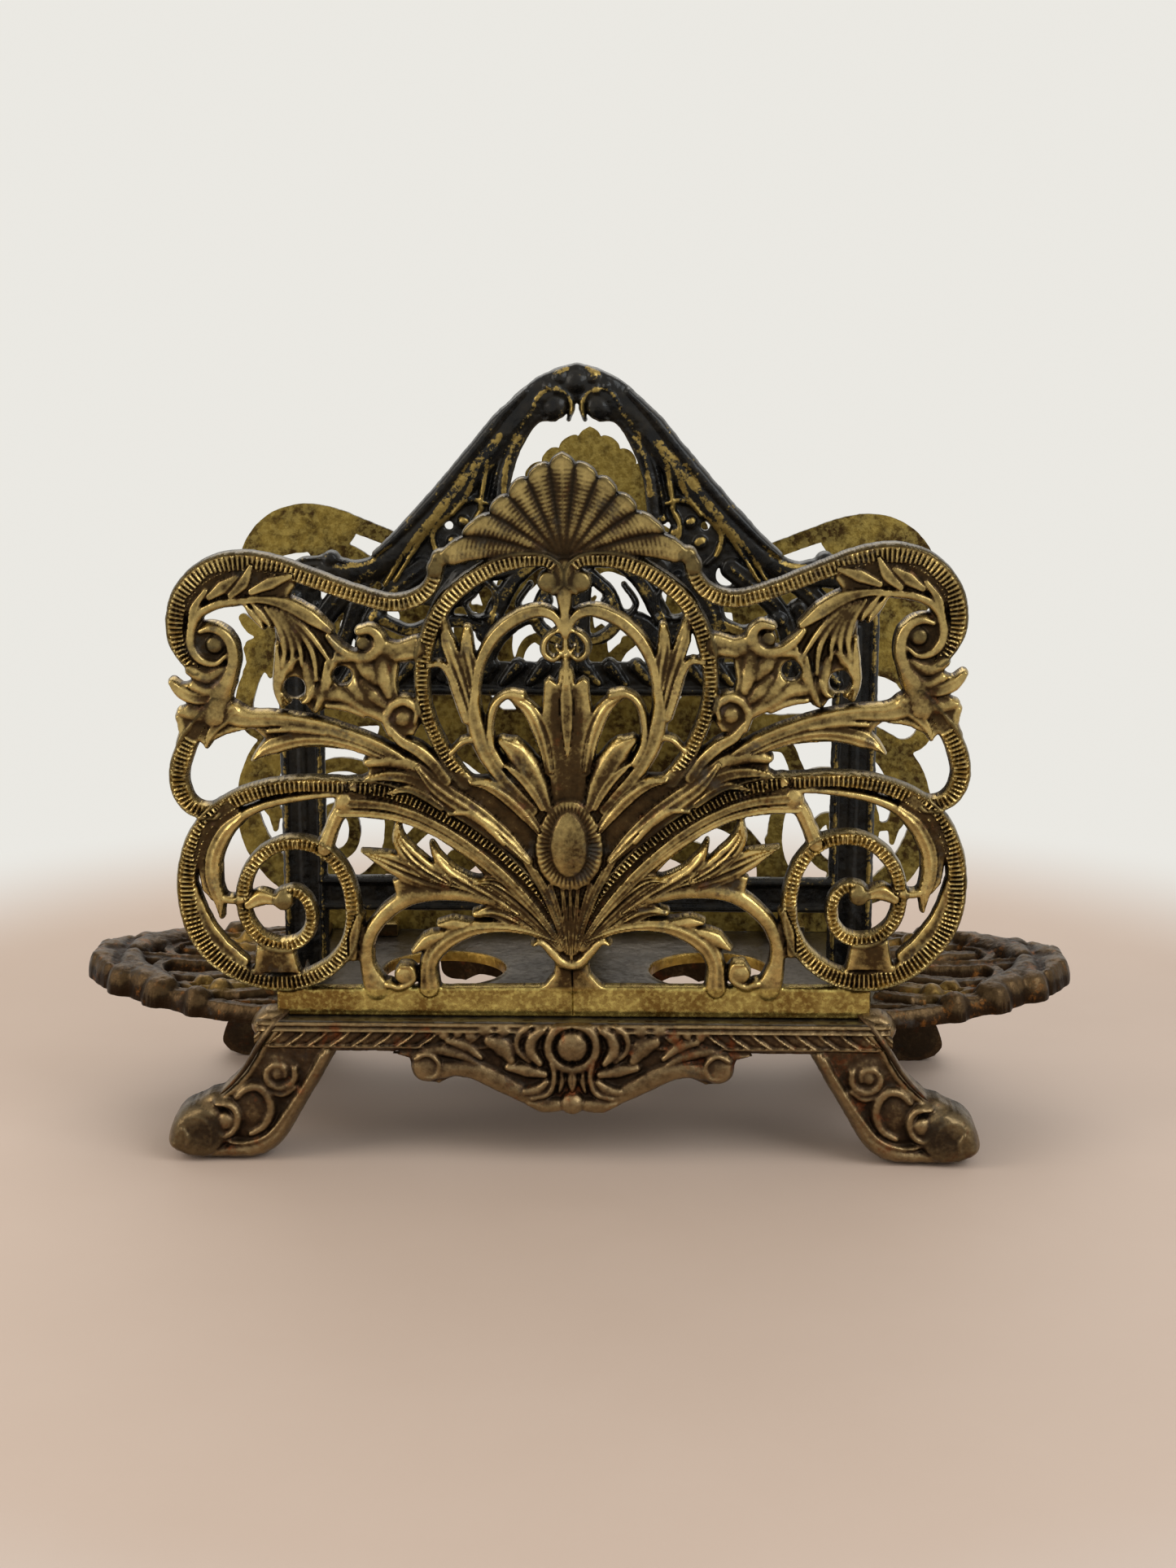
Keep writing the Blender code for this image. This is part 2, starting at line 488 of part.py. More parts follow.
def block(name, low, high):
    """A box between two corners."""
    mesh = bpy.data.meshes.new(name)
    work = bmesh.new()
    bmesh.ops.create_cube(work, size=1.0)
    size = [(b - a) * MM for a, b in zip(low, high)]
    middle = [(a + b) / 2 * MM for a, b in zip(low, high)]
    bmesh.ops.scale(work, verts=work.verts, vec=size)
    bmesh.ops.translate(work, verts=work.verts, vec=middle)
    work.to_mesh(mesh)
    work.free()
    return bpy.data.objects.new(name, mesh)


def keep(obj, home, material):
    """Puts a finished piece in its collection with its material."""
    home.objects.link(obj)
    obj.data.materials.clear()
    obj.data.materials.append(material)
    return obj


def boolean(target, others, operation, tools):
    """Joins or cuts with the others, one exact Boolean each."""
    for other in others:
        tools.objects.link(other)
        other.hide_render = True
        other.display_type = "WIRE"
        step = target.modifiers.new(other.name, "BOOLEAN")
        step.operation = operation
        step.solver = "EXACT"
        step.object = other


def upright(obj, y, turned=False):
    """Stands a plate drawn in XY up in XZ at a depth y, its face to -Y, or to +Y when turned."""
    obj.data.transform(Matrix.Translation((0, y * MM, 0)) @ Matrix.Rotation(math.pi / 2, 4, "X"))
    if turned:
        obj.data.transform(Matrix.Rotation(math.pi, 4, "Z"))
    return obj


def mirror_points(points):
    """A right half and its mirror image, as one outline."""
    left = [(-x, y) for x, y in reversed(points) if x > 0]
    return points + left


# ----------------------------------------------------------------------------------- the pieces
def base_casting(home, tools, material):
    """Tray with two round wells, aprons, legs and leaf handles, cast as one."""
    a, b, c = TRAY_HALF_LENGTH, TRAY_HALF_DEPTH, TRAY_CORNER
    rim = [(a, c - b), (a, b - c), (a - c, b), (c - a, b), (-a, b - c), (-a, c - b), (c - a, -b), (a - c, -b)]
    turns = [2 * math.pi * i / WELL_SIDES for i in range(WELL_SIDES)]
    wells = [[(side * WELL_X + WELL_RADIUS * math.cos(t), WELL_RADIUS * math.sin(t)) for t in turns]
             for side in (-1, 1)]
    tray = curve_solid("base_casting", [rim] + wells, TRAY_THICK)
    tray.data.transform(Matrix.Translation((0, 0, (TRAY_TOP - TRAY_THICK / 2) * MM)))
    parts = []
    for side in (-1, 1):
        parts.append(apron(side))
        parts.append(end_apron(side))
        parts.append(leaf_handle(side))
        for end in (-1, 1):
            parts.append(leg(side, end))
    boolean(tray, parts, "UNION", tools)
    holes = [cylinder(f"tray_hole_{i}", HOLE_RADIUS, TRAY_BOTTOM - 2, TRAY_TOP + 2, x, y)
             for i, (x, y) in enumerate(screw_places())]
    boolean(tray, holes, "DIFFERENCE", tools)
    return keep(tray, home, material)


def apron(side):
    """The front or rear apron with its hanging cartouche."""
    outline = mirror_points([(84, TRAY_BOTTOM + 1.5), (84, 37)] + CARTOUCHE)
    plate = curve_solid(f"apron_{side}", [outline], APRON_THICK)
    return upright(plate, APRON_THICK / 2 - APRON_FACE, turned=side > 0)


def end_apron(side):
    """The plain strip that closes the box under an end of the tray."""
    x = sorted((side * (TRAY_HALF_LENGTH - 1), side * (TRAY_HALF_LENGTH - 1 - END_APRON_THICK)))
    y = APRON_FACE - APRON_THICK / 2
    return block(f"end_apron_{side}", (x[0], -y, APRON_BOTTOM + 1), (x[1], y, TRAY_TOP - 1))


def leg(side, end):
    """A splayed leg with a rolled toe."""
    plate = curve_solid(f"leg_{side}_{end}", [LEG], LEG_THICK)
    upright(plate, LEG_THICK / 2 - APRON_FACE + LEG_INSET)
    flips = Matrix.Diagonal((end, -side, 1, 1))
    plate.data.transform(flips)
    if flips.determinant() < 0:
        plate.data.flip_normals()
    return plate


def leaf_handle(side):
    """The broad leaf at an end of the tray, its tip turned up a little."""
    near = [(x, -y) for x, y in HANDLE]
    outline = near + [(x, -y) for x, y in reversed(near) if y != 0]
    edge = smooth_line(outline, HANDLE_STEP)[0]
    plate = curve_solid(f"leaf_handle_{side}", [edge], HANDLE_THICK)
    middle = TRAY_TOP - HANDLE_DROP - HANDLE_THICK / 2
    for vertex in plate.data.vertices:
        out = max(0.0, (vertex.co.x / MM - TRAY_HALF_LENGTH) / (HANDLE_TIP - TRAY_HALF_LENGTH))
        vertex.co.z += (middle + HANDLE_RISE * out ** 2) * MM
    if side < 0:
        plate.data.transform(Matrix.Rotation(math.pi, 4, "Z"))
    return plate


def panel(name, turned, home, tools, material):
    """An openwork panel that leans outwards, with two lugs to screw it to the tray."""
    skew = np.array([[math.cos(PANEL_SKEW), -math.sin(PANEL_SKEW)],
                     [math.sin(PANEL_SKEW), math.cos(PANEL_SKEW)]])
    loops = [skewed_above_strip(loop, skew) for loop in panel_plan().outlines()]
    plate = curve_solid(name, loops, PANEL_THICK)
    upright(plate, -PANEL_THICK / 2)
    plate.data.transform(Matrix.Translation((0, -PANEL_INNER * MM, PANEL_FOOT * MM))
                         @ Matrix.Rotation(PANEL_LEAN, 4, "X"))
    lugs = [block(f"{name}_lug_{x}", (x - LUG_SIZE[0] / 2, -LUG_Y - LUG_SIZE[1] / 2, PANEL_FOOT),
                  (x + LUG_SIZE[0] / 2, -LUG_Y + LUG_SIZE[1] / 2, PANEL_FOOT + LUG_SIZE[2]))
            for x in (-LUG_X, LUG_X)]
    above = PANEL_FOOT + LUG_SIZE[2] + 1
    holes = [cylinder(f"{name}_hole_{x}", HOLE_RADIUS, TRAY_BOTTOM, above, x, -PANEL_SCREW_Y)
             for x in (-LUG_X, LUG_X)]
    for piece in [plate] + lugs + holes:
        if turned:
            piece.data.transform(Matrix.Rotation(math.pi, 4, "Z"))
    boolean(plate, lugs, "UNION", tools)
    boolean(plate, holes, "DIFFERENCE", tools)
    return keep(plate, home, material)


def skewed_above_strip(loop, skew):
    """Turns the ornament a little in its own plane, as cast, but not the strip that it stands on."""
    share = np.clip(loop[:, 1:] / (2 * STRIP_HEIGHT), 0, 1)
    return loop * (1 - share) + (loop @ skew.T) * share


def handle_frame(home, tools, material):
    """Two posts, a rail, a cross band and the tracery that rises to the grip."""
    plate = curve_solid("handle_frame", frame_plan().outlines(), FRAME_THICK)
    upright(plate, 0.0)
    holes = [cylinder(f"post_hole_{x}", HOLE_RADIUS, TRAY_BOTTOM, TRAY_TOP + POST_HOLE_DEPTH, x, 0)
             for x in (-POST_X, POST_X)]
    boolean(plate, holes, "DIFFERENCE", tools)
    return keep(plate, home, material)


def screw_places():
    """Where the screws stand: two for each panel and one for each post."""
    panels = [(x, y) for y in (-PANEL_SCREW_Y, PANEL_SCREW_Y) for x in (-LUG_X, LUG_X)]
    return panels + [(-POST_X, 0.0), (POST_X, 0.0)]


def screw(name, x, y, tip, home, tools, material):
    """A slotted round-head screw driven up through the tray."""
    seat = TRAY_BOTTOM - GAP
    rings = [(0.0, tip), (SHANK_RADIUS * 0.7, tip), (SHANK_RADIUS, tip - 1), (SHANK_RADIUS, seat),
             (HEAD_RADIUS, seat), (HEAD_RADIUS, seat - HEAD_HEIGHT * 0.45),
             (HEAD_RADIUS * 0.72, seat - HEAD_HEIGHT * 0.85), (0.0, seat - HEAD_HEIGHT)]
    mesh = bpy.data.meshes.new(name)
    edges = [(i, i + 1) for i in range(len(rings) - 1)]
    mesh.from_pydata([(r * MM, 0, z * MM) for r, z in rings], edges, [])
    obj = bpy.data.objects.new(name, mesh)
    obj.location = (x * MM, y * MM, 0)
    turn = obj.modifiers.new("turned", "SCREW")
    turn.steps = SCREW_SIDES
    turn.render_steps = SCREW_SIDES
    turn.use_merge_vertices = True
    turn.merge_threshold = 1e-5
    low, reach, half = seat - HEAD_HEIGHT, HEAD_RADIUS + 1, SLOT_WIDTH / 2
    slot = block(name + "_slot", (x - reach, y - half, low - 1), (x + reach, y + half, low + 1))
    boolean(obj, [slot], "DIFFERENCE", tools)
    return keep(obj, home, material)


def main():
    for obj in list(bpy.data.objects):
        bpy.data.objects.remove(obj)
    home = collection("book_rack")
    tools = collection("cutters")
    aged_brass = metal("aged_brass", (0.30, 0.22, 0.11), 0.42)
    dark_bronze = metal("dark_bronze", (0.10, 0.075, 0.05), 0.5)
    black_lacquer = metal("worn_black_lacquer", (0.02, 0.018, 0.014), 0.45)
    steel = metal("dull_steel", (0.25, 0.24, 0.22), 0.4)
    base_casting(home, tools, dark_bronze)
    panel("front_panel", False, home, tools, aged_brass)
    panel("rear_panel", True, home, tools, aged_brass)
    handle_frame(home, tools, black_lacquer)
    names = ["screw_front_left", "screw_front_right", "screw_rear_left", "screw_rear_right",
             "screw_post_left", "screw_post_right"]
    for name, (x, y) in zip(names, screw_places()):
        tip = TRAY_TOP + (POST_HOLE_DEPTH - 1 if "post" in name else LUG_SIZE[2])
        screw(name, x, y, tip, home, tools, steel)
    for obj in home.objects:
        obj.data.shade_smooth()
        obj.data.set_sharp_from_angle(angle=SHARP_ANGLE)


main()
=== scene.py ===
"""The looks of a cast-brass book rack: two openwork panels, a lacquered frame and a footed tray.

Every casting is drawn as a relief over a fine grid, from smooth strands (stems, leaves, milled
bands, balls), and the grid is then turned into one closed mesh.  Lengths are millimetres until
they are scaled into the frame's metres.
"""
import math

import bmesh
import bpy
import numpy as np
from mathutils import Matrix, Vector


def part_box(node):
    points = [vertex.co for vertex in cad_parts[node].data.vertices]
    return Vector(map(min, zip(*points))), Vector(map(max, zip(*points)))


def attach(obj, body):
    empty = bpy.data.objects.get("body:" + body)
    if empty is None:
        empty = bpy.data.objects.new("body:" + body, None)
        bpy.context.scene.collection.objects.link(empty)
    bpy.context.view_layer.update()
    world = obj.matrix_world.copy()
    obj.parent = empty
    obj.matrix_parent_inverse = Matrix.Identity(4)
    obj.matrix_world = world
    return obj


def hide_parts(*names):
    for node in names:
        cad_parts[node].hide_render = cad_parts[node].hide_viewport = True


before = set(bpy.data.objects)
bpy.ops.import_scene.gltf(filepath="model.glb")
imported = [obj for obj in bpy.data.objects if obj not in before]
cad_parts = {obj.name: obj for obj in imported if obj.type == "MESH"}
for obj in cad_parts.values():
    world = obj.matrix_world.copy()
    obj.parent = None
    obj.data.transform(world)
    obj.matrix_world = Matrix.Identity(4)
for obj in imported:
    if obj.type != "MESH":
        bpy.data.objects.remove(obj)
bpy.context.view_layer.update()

MM = 0.001
CELL = 0.34            # grid step of the castings' surfaces, mm
MARGIN = 2.6           # how far beyond a strand's edge its surroundings are drawn, mm
FILLET = 0.9           # how softly neighbouring strands flow together in plan, mm
RIB_PITCH = 1.36       # step of the milled cross-ribs, mm
GROOVE_DEPTH = 0.132   # depth of a strand's grooves, as a share of its height
VEIN_DEPTH = 0.16      # the same for a leaf's veins
SMOOTH_ANGLE = math.radians(50)
PANEL_CORE = 2.3
PANEL_WALL = 2.1
LUG_X = 66.0
LUG_DEPTH = 9.5
LUG_INSET = 0.8
FRAME_CORE = 1.2
FRAME_WALL = 0.9
FRAME_FOOT = 43.3
TRAY_THICK = 3.0
APRON_BACK = 49.4
APRON_CORE = 1.6
LEG_BACK = 40.9
LEG_CORE = 10.2
HANDLE_BOTTOM = 39.6
HANDLE_CORE = 2.2


# ------------------------------------------------------------------ relief drawn over a fine grid
def smooth_line(points, step=0.8):
    """Points about step apart along a Catmull-Rom line through the given ones, and their run."""
    p = np.array(points, float)
    p = np.vstack([2 * p[0] - p[1], p, 2 * p[-1] - p[-2]])
    pieces = []
    for a, b, c, d in zip(p, p[1:], p[2:], p[3:]):
        count = max(2, int(np.linalg.norm(c - b) / step) + 1)
        t = np.linspace(0, 1, count, endpoint=False)[:, None]
        pieces.append(0.5 * (2 * b + (c - a) * t + (2 * a - 5 * b + 4 * c - d) * t ** 2
                             + (3 * b - a - 3 * c + d) * t ** 3))
    line = np.vstack(pieces + [p[-2][None]])
    run = np.concatenate([[0], np.cumsum(np.linalg.norm(np.diff(line, axis=0), axis=1))])
    return line, run


def spread(values, share):
    """A value that runs through the given ones, evenly spaced, as share goes from 0 to 1."""
    values = np.atleast_1d(np.array(values, float))
    if len(values) == 1:
        return np.full(np.shape(share), values[0])
    return np.interp(share, np.linspace(0, 1, len(values)), values)


def dome(x):
    """Half a circle: 1 where x is 0, falling to 0 at -1 and 1."""
    return np.sqrt(np.clip(1 - x ** 2, 0, 1))


class Relief:
    """A casting drawn over a grid: edge is the distance to its outline (negative is metal), high is
    the height of its face, fine the chasing on it, tint and tone where its colour changes."""

    def __init__(self, x_min, x_max, y_min, y_max, cell=CELL, fillet=FILLET):
        self.x = np.arange(round(x_min / cell), round(x_max / cell) + 1) * cell
        self.y = np.arange(round(y_min / cell), round(y_max / cell) + 1) * cell
        self.xx, self.yy = np.meshgrid(self.x, self.y)
        self.cell = cell
        self.fillet = fillet
        self.edge = np.full(self.xx.shape, 20.0)
        self.high = np.zeros(self.xx.shape)
        self.tint = np.zeros(self.xx.shape)
        self.tone = np.zeros(self.xx.shape)
        self.fine = np.zeros(self.xx.shape)

    def window(self, x_low, x_high, y_low, y_high):
        cols = slice(*np.searchsorted(self.x, [x_low, x_high]))
        rows = slice(*np.searchsorted(self.y, [y_low, y_high]))
        return rows, cols

    def join(self, win, distance, height, fine=0.0):
        """Adds a shape to the plan and keeps the higher of the two surfaces, with its chasing."""
        if not self.edge[win].size:
            return
        old = self.edge[win]
        mix = np.clip(0.5 + 0.5 * (old - distance) / self.fillet, 0, 1)
        self.edge[win] = old * (1 - mix) + distance * mix - self.fillet * mix * (1 - mix)
        higher = (distance < 0.3) & (height > self.high[win])
        self.high[win] = np.where(higher, height, self.high[win])
        self.fine[win] = np.where(higher, fine, self.fine[win])

    def frame_of(self, points, widths):
        """For the cells near a strand: signed distance to it, run, side, half width and share."""
        line, run = smooth_line(points)
        half = spread(widths, run / run[-1]) / 2
        pad = half.max() + MARGIN
        win = self.window(line[:, 0].min() - pad, line[:, 0].max() + pad,
                          line[:, 1].min() - pad, line[:, 1].max() + pad)
        xx, yy = self.xx[win], self.yy[win]
        near = np.full(xx.shape, 50.0)
        along, side, wide = np.zeros(xx.shape), np.zeros(xx.shape), np.full(xx.shape, 1.0)
        if not xx.size:
            return win, near, along, side, wide, along
        for i in range(len(line) - 1):
            (ax, ay), (bx, by) = line[i], line[i + 1]
            dx, dy = bx - ax, by - ay
            long2 = dx * dx + dy * dy
            if long2 < 1e-12:
                continue
            reach = max(half[i], half[i + 1]) + MARGIN
            cols = slice(*np.searchsorted(xx[0], [min(ax, bx) - reach, max(ax, bx) + reach]))
            rows = slice(*np.searchsorted(yy[:, 0], [min(ay, by) - reach, max(ay, by) + reach]))
            px, py = xx[rows, cols] - ax, yy[rows, cols] - ay
            t = np.clip((px * dx + py * dy) / long2, 0, 1)
            off = np.hypot(px - t * dx, py - t * dy)
            h = half[i] + t * (half[i + 1] - half[i])
            closer = off - h < near[rows, cols]
            near[rows, cols] = np.where(closer, off - h, near[rows, cols])
            along[rows, cols] = np.where(closer, run[i] + t * (run[i + 1] - run[i]), along[rows, cols])
            side[rows, cols] = np.where(closer, np.sign(dx * py - dy * px) * off, side[rows, cols])
            wide[rows, cols] = np.where(closer, h, wide[rows, cols])
        return win, near, along, side, np.maximum(wide, 0.3), along / run[-1]

    def ground(self, points, widths, height):
        """Plain low metal under or between the raised ornament."""
        win, near, _, _, _, _ = self.frame_of(points, widths)
        self.join(win, near, np.full(near.shape, float(height)))

    def stem(self, points, widths, heights, grooves=0):
        """A rounded strand, with lengthwise grooves."""
        win, near, _, side, half, share = self.frame_of(points, widths)
        x = np.clip(side / half, -1, 1)
        top = spread(heights, share)
        body = 0.30 + 0.70 * dome(x)
        fine = 0.0
        if grooves:
            cut = 0.5 + 0.5 * np.cos(math.pi * (grooves + 1) * (x + 1 - 1 / (grooves + 1)))
            cut = np.clip(cut, 0, 1) ** 2 * (1 - x ** 6)
            fine = -top * GROOVE_DEPTH * (1 - cut)
        self.join(win, near, top * body, fine)

    def leaf(self, points, widths, heights, veins):
        """A leaf: dished, with raised edges, a midrib and veins that follow it."""
        win, near, _, side, half, share = self.frame_of(points, widths)
        x = np.clip(side / half, -1, 1)
        ax = np.abs(x)
        top = spread(heights, share)
        rib = np.exp(-(side / 0.5) ** 2) * 0.18
        body = (0.66 + 0.26 * ax ** 1.8 + rib) * np.clip((1 - ax) * 4.5 + 0.4, 0, 1)
        fine = top * VEIN_DEPTH * (0.5 * np.cos(2 * math.pi * veins * ax) - 0.3) * (half > 0.8)
        self.join(win, near, top * body, fine)

    def band(self, points, widths, heights, rim):
        """A strand milled across with fine ribs, with a smooth raised rim along one side."""
        win, near, along, side, half, share = self.frame_of(points, widths)
        n = side * rim
        top = spread(heights, share)
        rim_wide = np.minimum(1.15, half * 0.45)
        roll = 0.92 * dome((n - (half - rim_wide * 0.5)) / (rim_wide * 0.55))
        lip = 0.66 * dome((n + (half - 0.42)) / 0.42)
        wave = 0.5 + 0.5 * np.cos(2 * math.pi * along / RIB_PITCH)
        on_ribs = (n < half - rim_wide) & (n > -(half - 0.5))
        crown = dome(n / (half * 1.25))
        ribs = (0.34 * wave ** 0.8 * crown) * on_ribs
        self.join(win, near, top * np.maximum(np.maximum(roll, lip), 0.52), top * ribs)
        rim_tone = 0.75 * np.clip((n - (half - rim_wide)) * 4, 0, 1) * (near < 0.3)
        self.tone[win] = np.maximum(self.tone[win], rim_tone)

    def ball(self, x, y, radius, height, base=0.0, tone=0.0):
        win = self.window(x - radius - 2, x + radius + 2, y - radius - 2, y + radius + 2)
        off = np.hypot(self.xx[win] - x, self.yy[win] - y)
        self.join(win, off - radius, base + height * dome(off / radius))
        self.tone[win] = np.maximum(self.tone[win], tone * (off < radius + 0.2))

    def gild(self, points, width, amount):
        """Marks a line where the metal shows through, without changing the shape."""
        win, near, _, _, _, _ = self.frame_of(points, width)
        self.tint[win] = np.maximum(self.tint[win], amount * np.clip(0.5 - near / 0.8, 0, 1))

    def polygon(self, corners, height):
        """A straight-sided shape with a flat top."""
        p = np.array(corners, float)
        win = self.window(p[:, 0].min() - 2, p[:, 0].max() + 2, p[:, 1].min() - 2, p[:, 1].max() + 2)
        xx, yy = self.xx[win], self.yy[win]
        distance = np.full(xx.shape, 50.0)
        inside = np.zeros(xx.shape, bool)
        for (ax, ay), (bx, by) in zip(p, np.roll(p, -1, axis=0)):
            dx, dy = bx - ax, by - ay
            t = np.clip(((xx - ax) * dx + (yy - ay) * dy) / (dx * dx + dy * dy), 0, 1)
            distance = np.minimum(distance, np.hypot(xx - ax - t * dx, yy - ay - t * dy))
            if ay != by:
                inside ^= ((ay > yy) != (by > yy)) & (xx < dx * (yy - ay) / dy + ax)
        self.join(win, np.where(inside, -distance, distance), np.full(xx.shape, float(height)))

    def hole(self, x, y, radius, lip=0.0):
        """Pierces the casting, with a raised lip if asked."""
        win = self.window(x - radius - 3, x + radius + 3, y - radius - 3, y + radius + 3)
        off = np.hypot(self.xx[win] - x, self.yy[win] - y)
        self.edge[win] = np.maximum(self.edge[win], radius - off)
        if lip:
            self.high[win] += lip * np.exp(-((off - radius - 0.5) / 0.5) ** 2)

    def slot(self, points, widths):
        """Pierces a curved slot."""
        win, near, _, _, _, _ = self.frame_of(points, widths)
        self.edge[win] = np.maximum(self.edge[win], -near)

    def wander(self, seed, amount, size):
        """A smooth random field, the same every time, for the unevenness of a hand-finished cast."""
        rng = np.random.default_rng(seed)
        rows = int((self.y[-1] - self.y[0]) / size) + 4
        cols = int((self.x[-1] - self.x[0]) / size) + 4
        grid = rng.uniform(-1, 1, (rows, cols))
        fy = (self.yy - self.y[0]) / size + 1
        fx = (self.xx - self.x[0]) / size + 1
        j, i = fy.astype(int), fx.astype(int)
        ty, tx = fy - j, fx - i
        ty, tx = ty * ty * (3 - 2 * ty), tx * tx * (3 - 2 * tx)
        low = grid[j, i] * (1 - tx) + grid[j, i + 1] * tx
        top = grid[j + 1, i] * (1 - tx) + grid[j + 1, i + 1] * tx
        return amount * (low * (1 - ty) + top * ty)

    def soften(self, cells):
        """Lets neighbouring strands flow together, as wax does, then adds the fine chasing."""
        metal = (self.edge < 0.3).astype(float)
        soft = blurred(self.high * metal, cells) / np.maximum(blurred(metal, cells), 0.01)
        self.high = np.where(metal > 0, soft, self.high) + self.fine

    def roughen(self, seed, outline, face):
        """Makes the outline and the face a little uneven, in broad and in small waves."""
        self.edge += self.wander(seed, outline, 2.3) + self.wander(seed + 1, outline * 0.5, 0.9)
        self.high += self.wander(seed + 2, face, 2.0) + self.wander(seed + 3, face * 0.5, 0.8)

    def mirrored(self):
        """The whole casting, from a left half that ends at x = 0."""
        whole = Relief(self.x[0], -self.x[0], self.y[0], self.y[-1], self.cell, self.fillet)
        for name in ("edge", "high", "tint", "tone"):
            half = getattr(self, name)
            setattr(whole, name, np.hstack([half, half[:, -2::-1]]))
        return whole


def blurred(field, cells):
    """A Gaussian blur over so many grid cells."""
    reach = int(3 * cells) + 1
    kernel = np.exp(-0.5 * (np.arange(-reach, reach + 1) / cells) ** 2)
    kernel /= kernel.sum()
    for axis in (0, 1):
        padded = np.pad(field, [(reach, reach) if a == axis else (0, 0) for a in (0, 1)], mode="edge")
        size = field.shape[axis]
        field = sum(k * np.take(padded, range(i, i + size), axis=axis) for i, k in enumerate(kernel))
    return field


# -------------------------------------------------------------------- closed meshes from reliefs
def cell_outline(code):
    """The metal in a grid cell: 0 to 3 are its corners, 4 to 7 the sides that follow them."""
    ring = []
    for k in range(4):
        here, after = code >> k & 1, code >> (k + 1) % 4 & 1
        if here:
            ring.append(k)
        if here != after:
            ring.append(4 + k)
    return ring


class Skin:
    """Points and faces of a mesh under construction, with tint, tone and a value for each point that paints
    crests lighter and hollows darker: rubbed brass and tarnish, with painted highlight and painted shade.
    """

    def __init__(self):
        self.points, self.wear, self.tint, self.tone = [], [], [], []
        self.faces, self.slots = [], []
        self.count = 0

    def add_points(self, xyz, wear, tint, tone=0.0):
        self.points.append(xyz)
        self.wear.append(np.broadcast_to(wear, len(xyz)))
        self.tint.append(np.broadcast_to(tint, len(xyz)))
        self.tone.append(np.broadcast_to(tone, len(xyz)))
        self.count += len(xyz)
        return self.count - len(xyz)

    def add_faces(self, corners, slot=0):
        if len(corners):
            self.faces.append(np.asarray(corners))
            self.slots.append(np.full(len(corners), slot))

    def flip(self):
        """Turns every face over, for a casting that is placed as a mirror image."""
        self.faces = [corners[:, ::-1] for corners in self.faces]

    def mesh(self, name, materials, place=None):
        """The finished object; place maps an array of millimetre points into the world."""
        xyz = np.vstack(self.points)
        if place is not None:
            xyz = place(xyz)
        data = bpy.data.meshes.new(name)
        data.vertices.add(len(xyz))
        data.vertices.foreach_set("co", (xyz * MM).astype(np.float32).ravel())
        sizes = np.concatenate([np.full(len(f), f.shape[1]) for f in self.faces])
        data.loops.add(int(sizes.sum()))
        corners = np.concatenate([f.ravel() for f in self.faces])
        data.loops.foreach_set("vertex_index", corners.astype(np.int32))
        data.polygons.add(len(sizes))
        data.polygons.foreach_set("loop_start", (np.cumsum(sizes) - sizes).astype(np.int32))
        for material in materials:
            data.materials.append(material)
        data.polygons.foreach_set("material_index", np.concatenate(self.slots).astype(np.int32))
        for label, values in (("wear", self.wear), ("tint", self.tint), ("tone", self.tone)):
            layer = data.attributes.new(label, "FLOAT", "POINT")
            layer.data.foreach_set("value", np.concatenate(values).astype(np.float32))
        data.update(calc_edges=True)
        data.validate()
        data.shade_smooth()
        data.set_sharp_from_angle(angle=SMOOTH_ANGLE)
        obj = bpy.data.objects.new(name, data)
        bpy.context.scene.collection.objects.link(obj)
        return obj


WEAR_SHADING_FINE = 1.0        # widths of the surroundings that a spot is compared with, mm
WEAR_SHADING_BROAD = 3.0


# The crests and hollows found here are painted lighter and darker by the materials: rubbed brass with a
# painted highlight, tarnish with painted shade.
def wear_of(high):
    """How much a spot stands proud of its surroundings (up to 1) or lies in a hollow (down to -1)."""
    near = high - blurred(high, WEAR_SHADING_FINE / CELL)
    far = high - blurred(high, WEAR_SHADING_BROAD / CELL)
    return np.clip(near * 1.5 + far * 0.55, -1, 1)


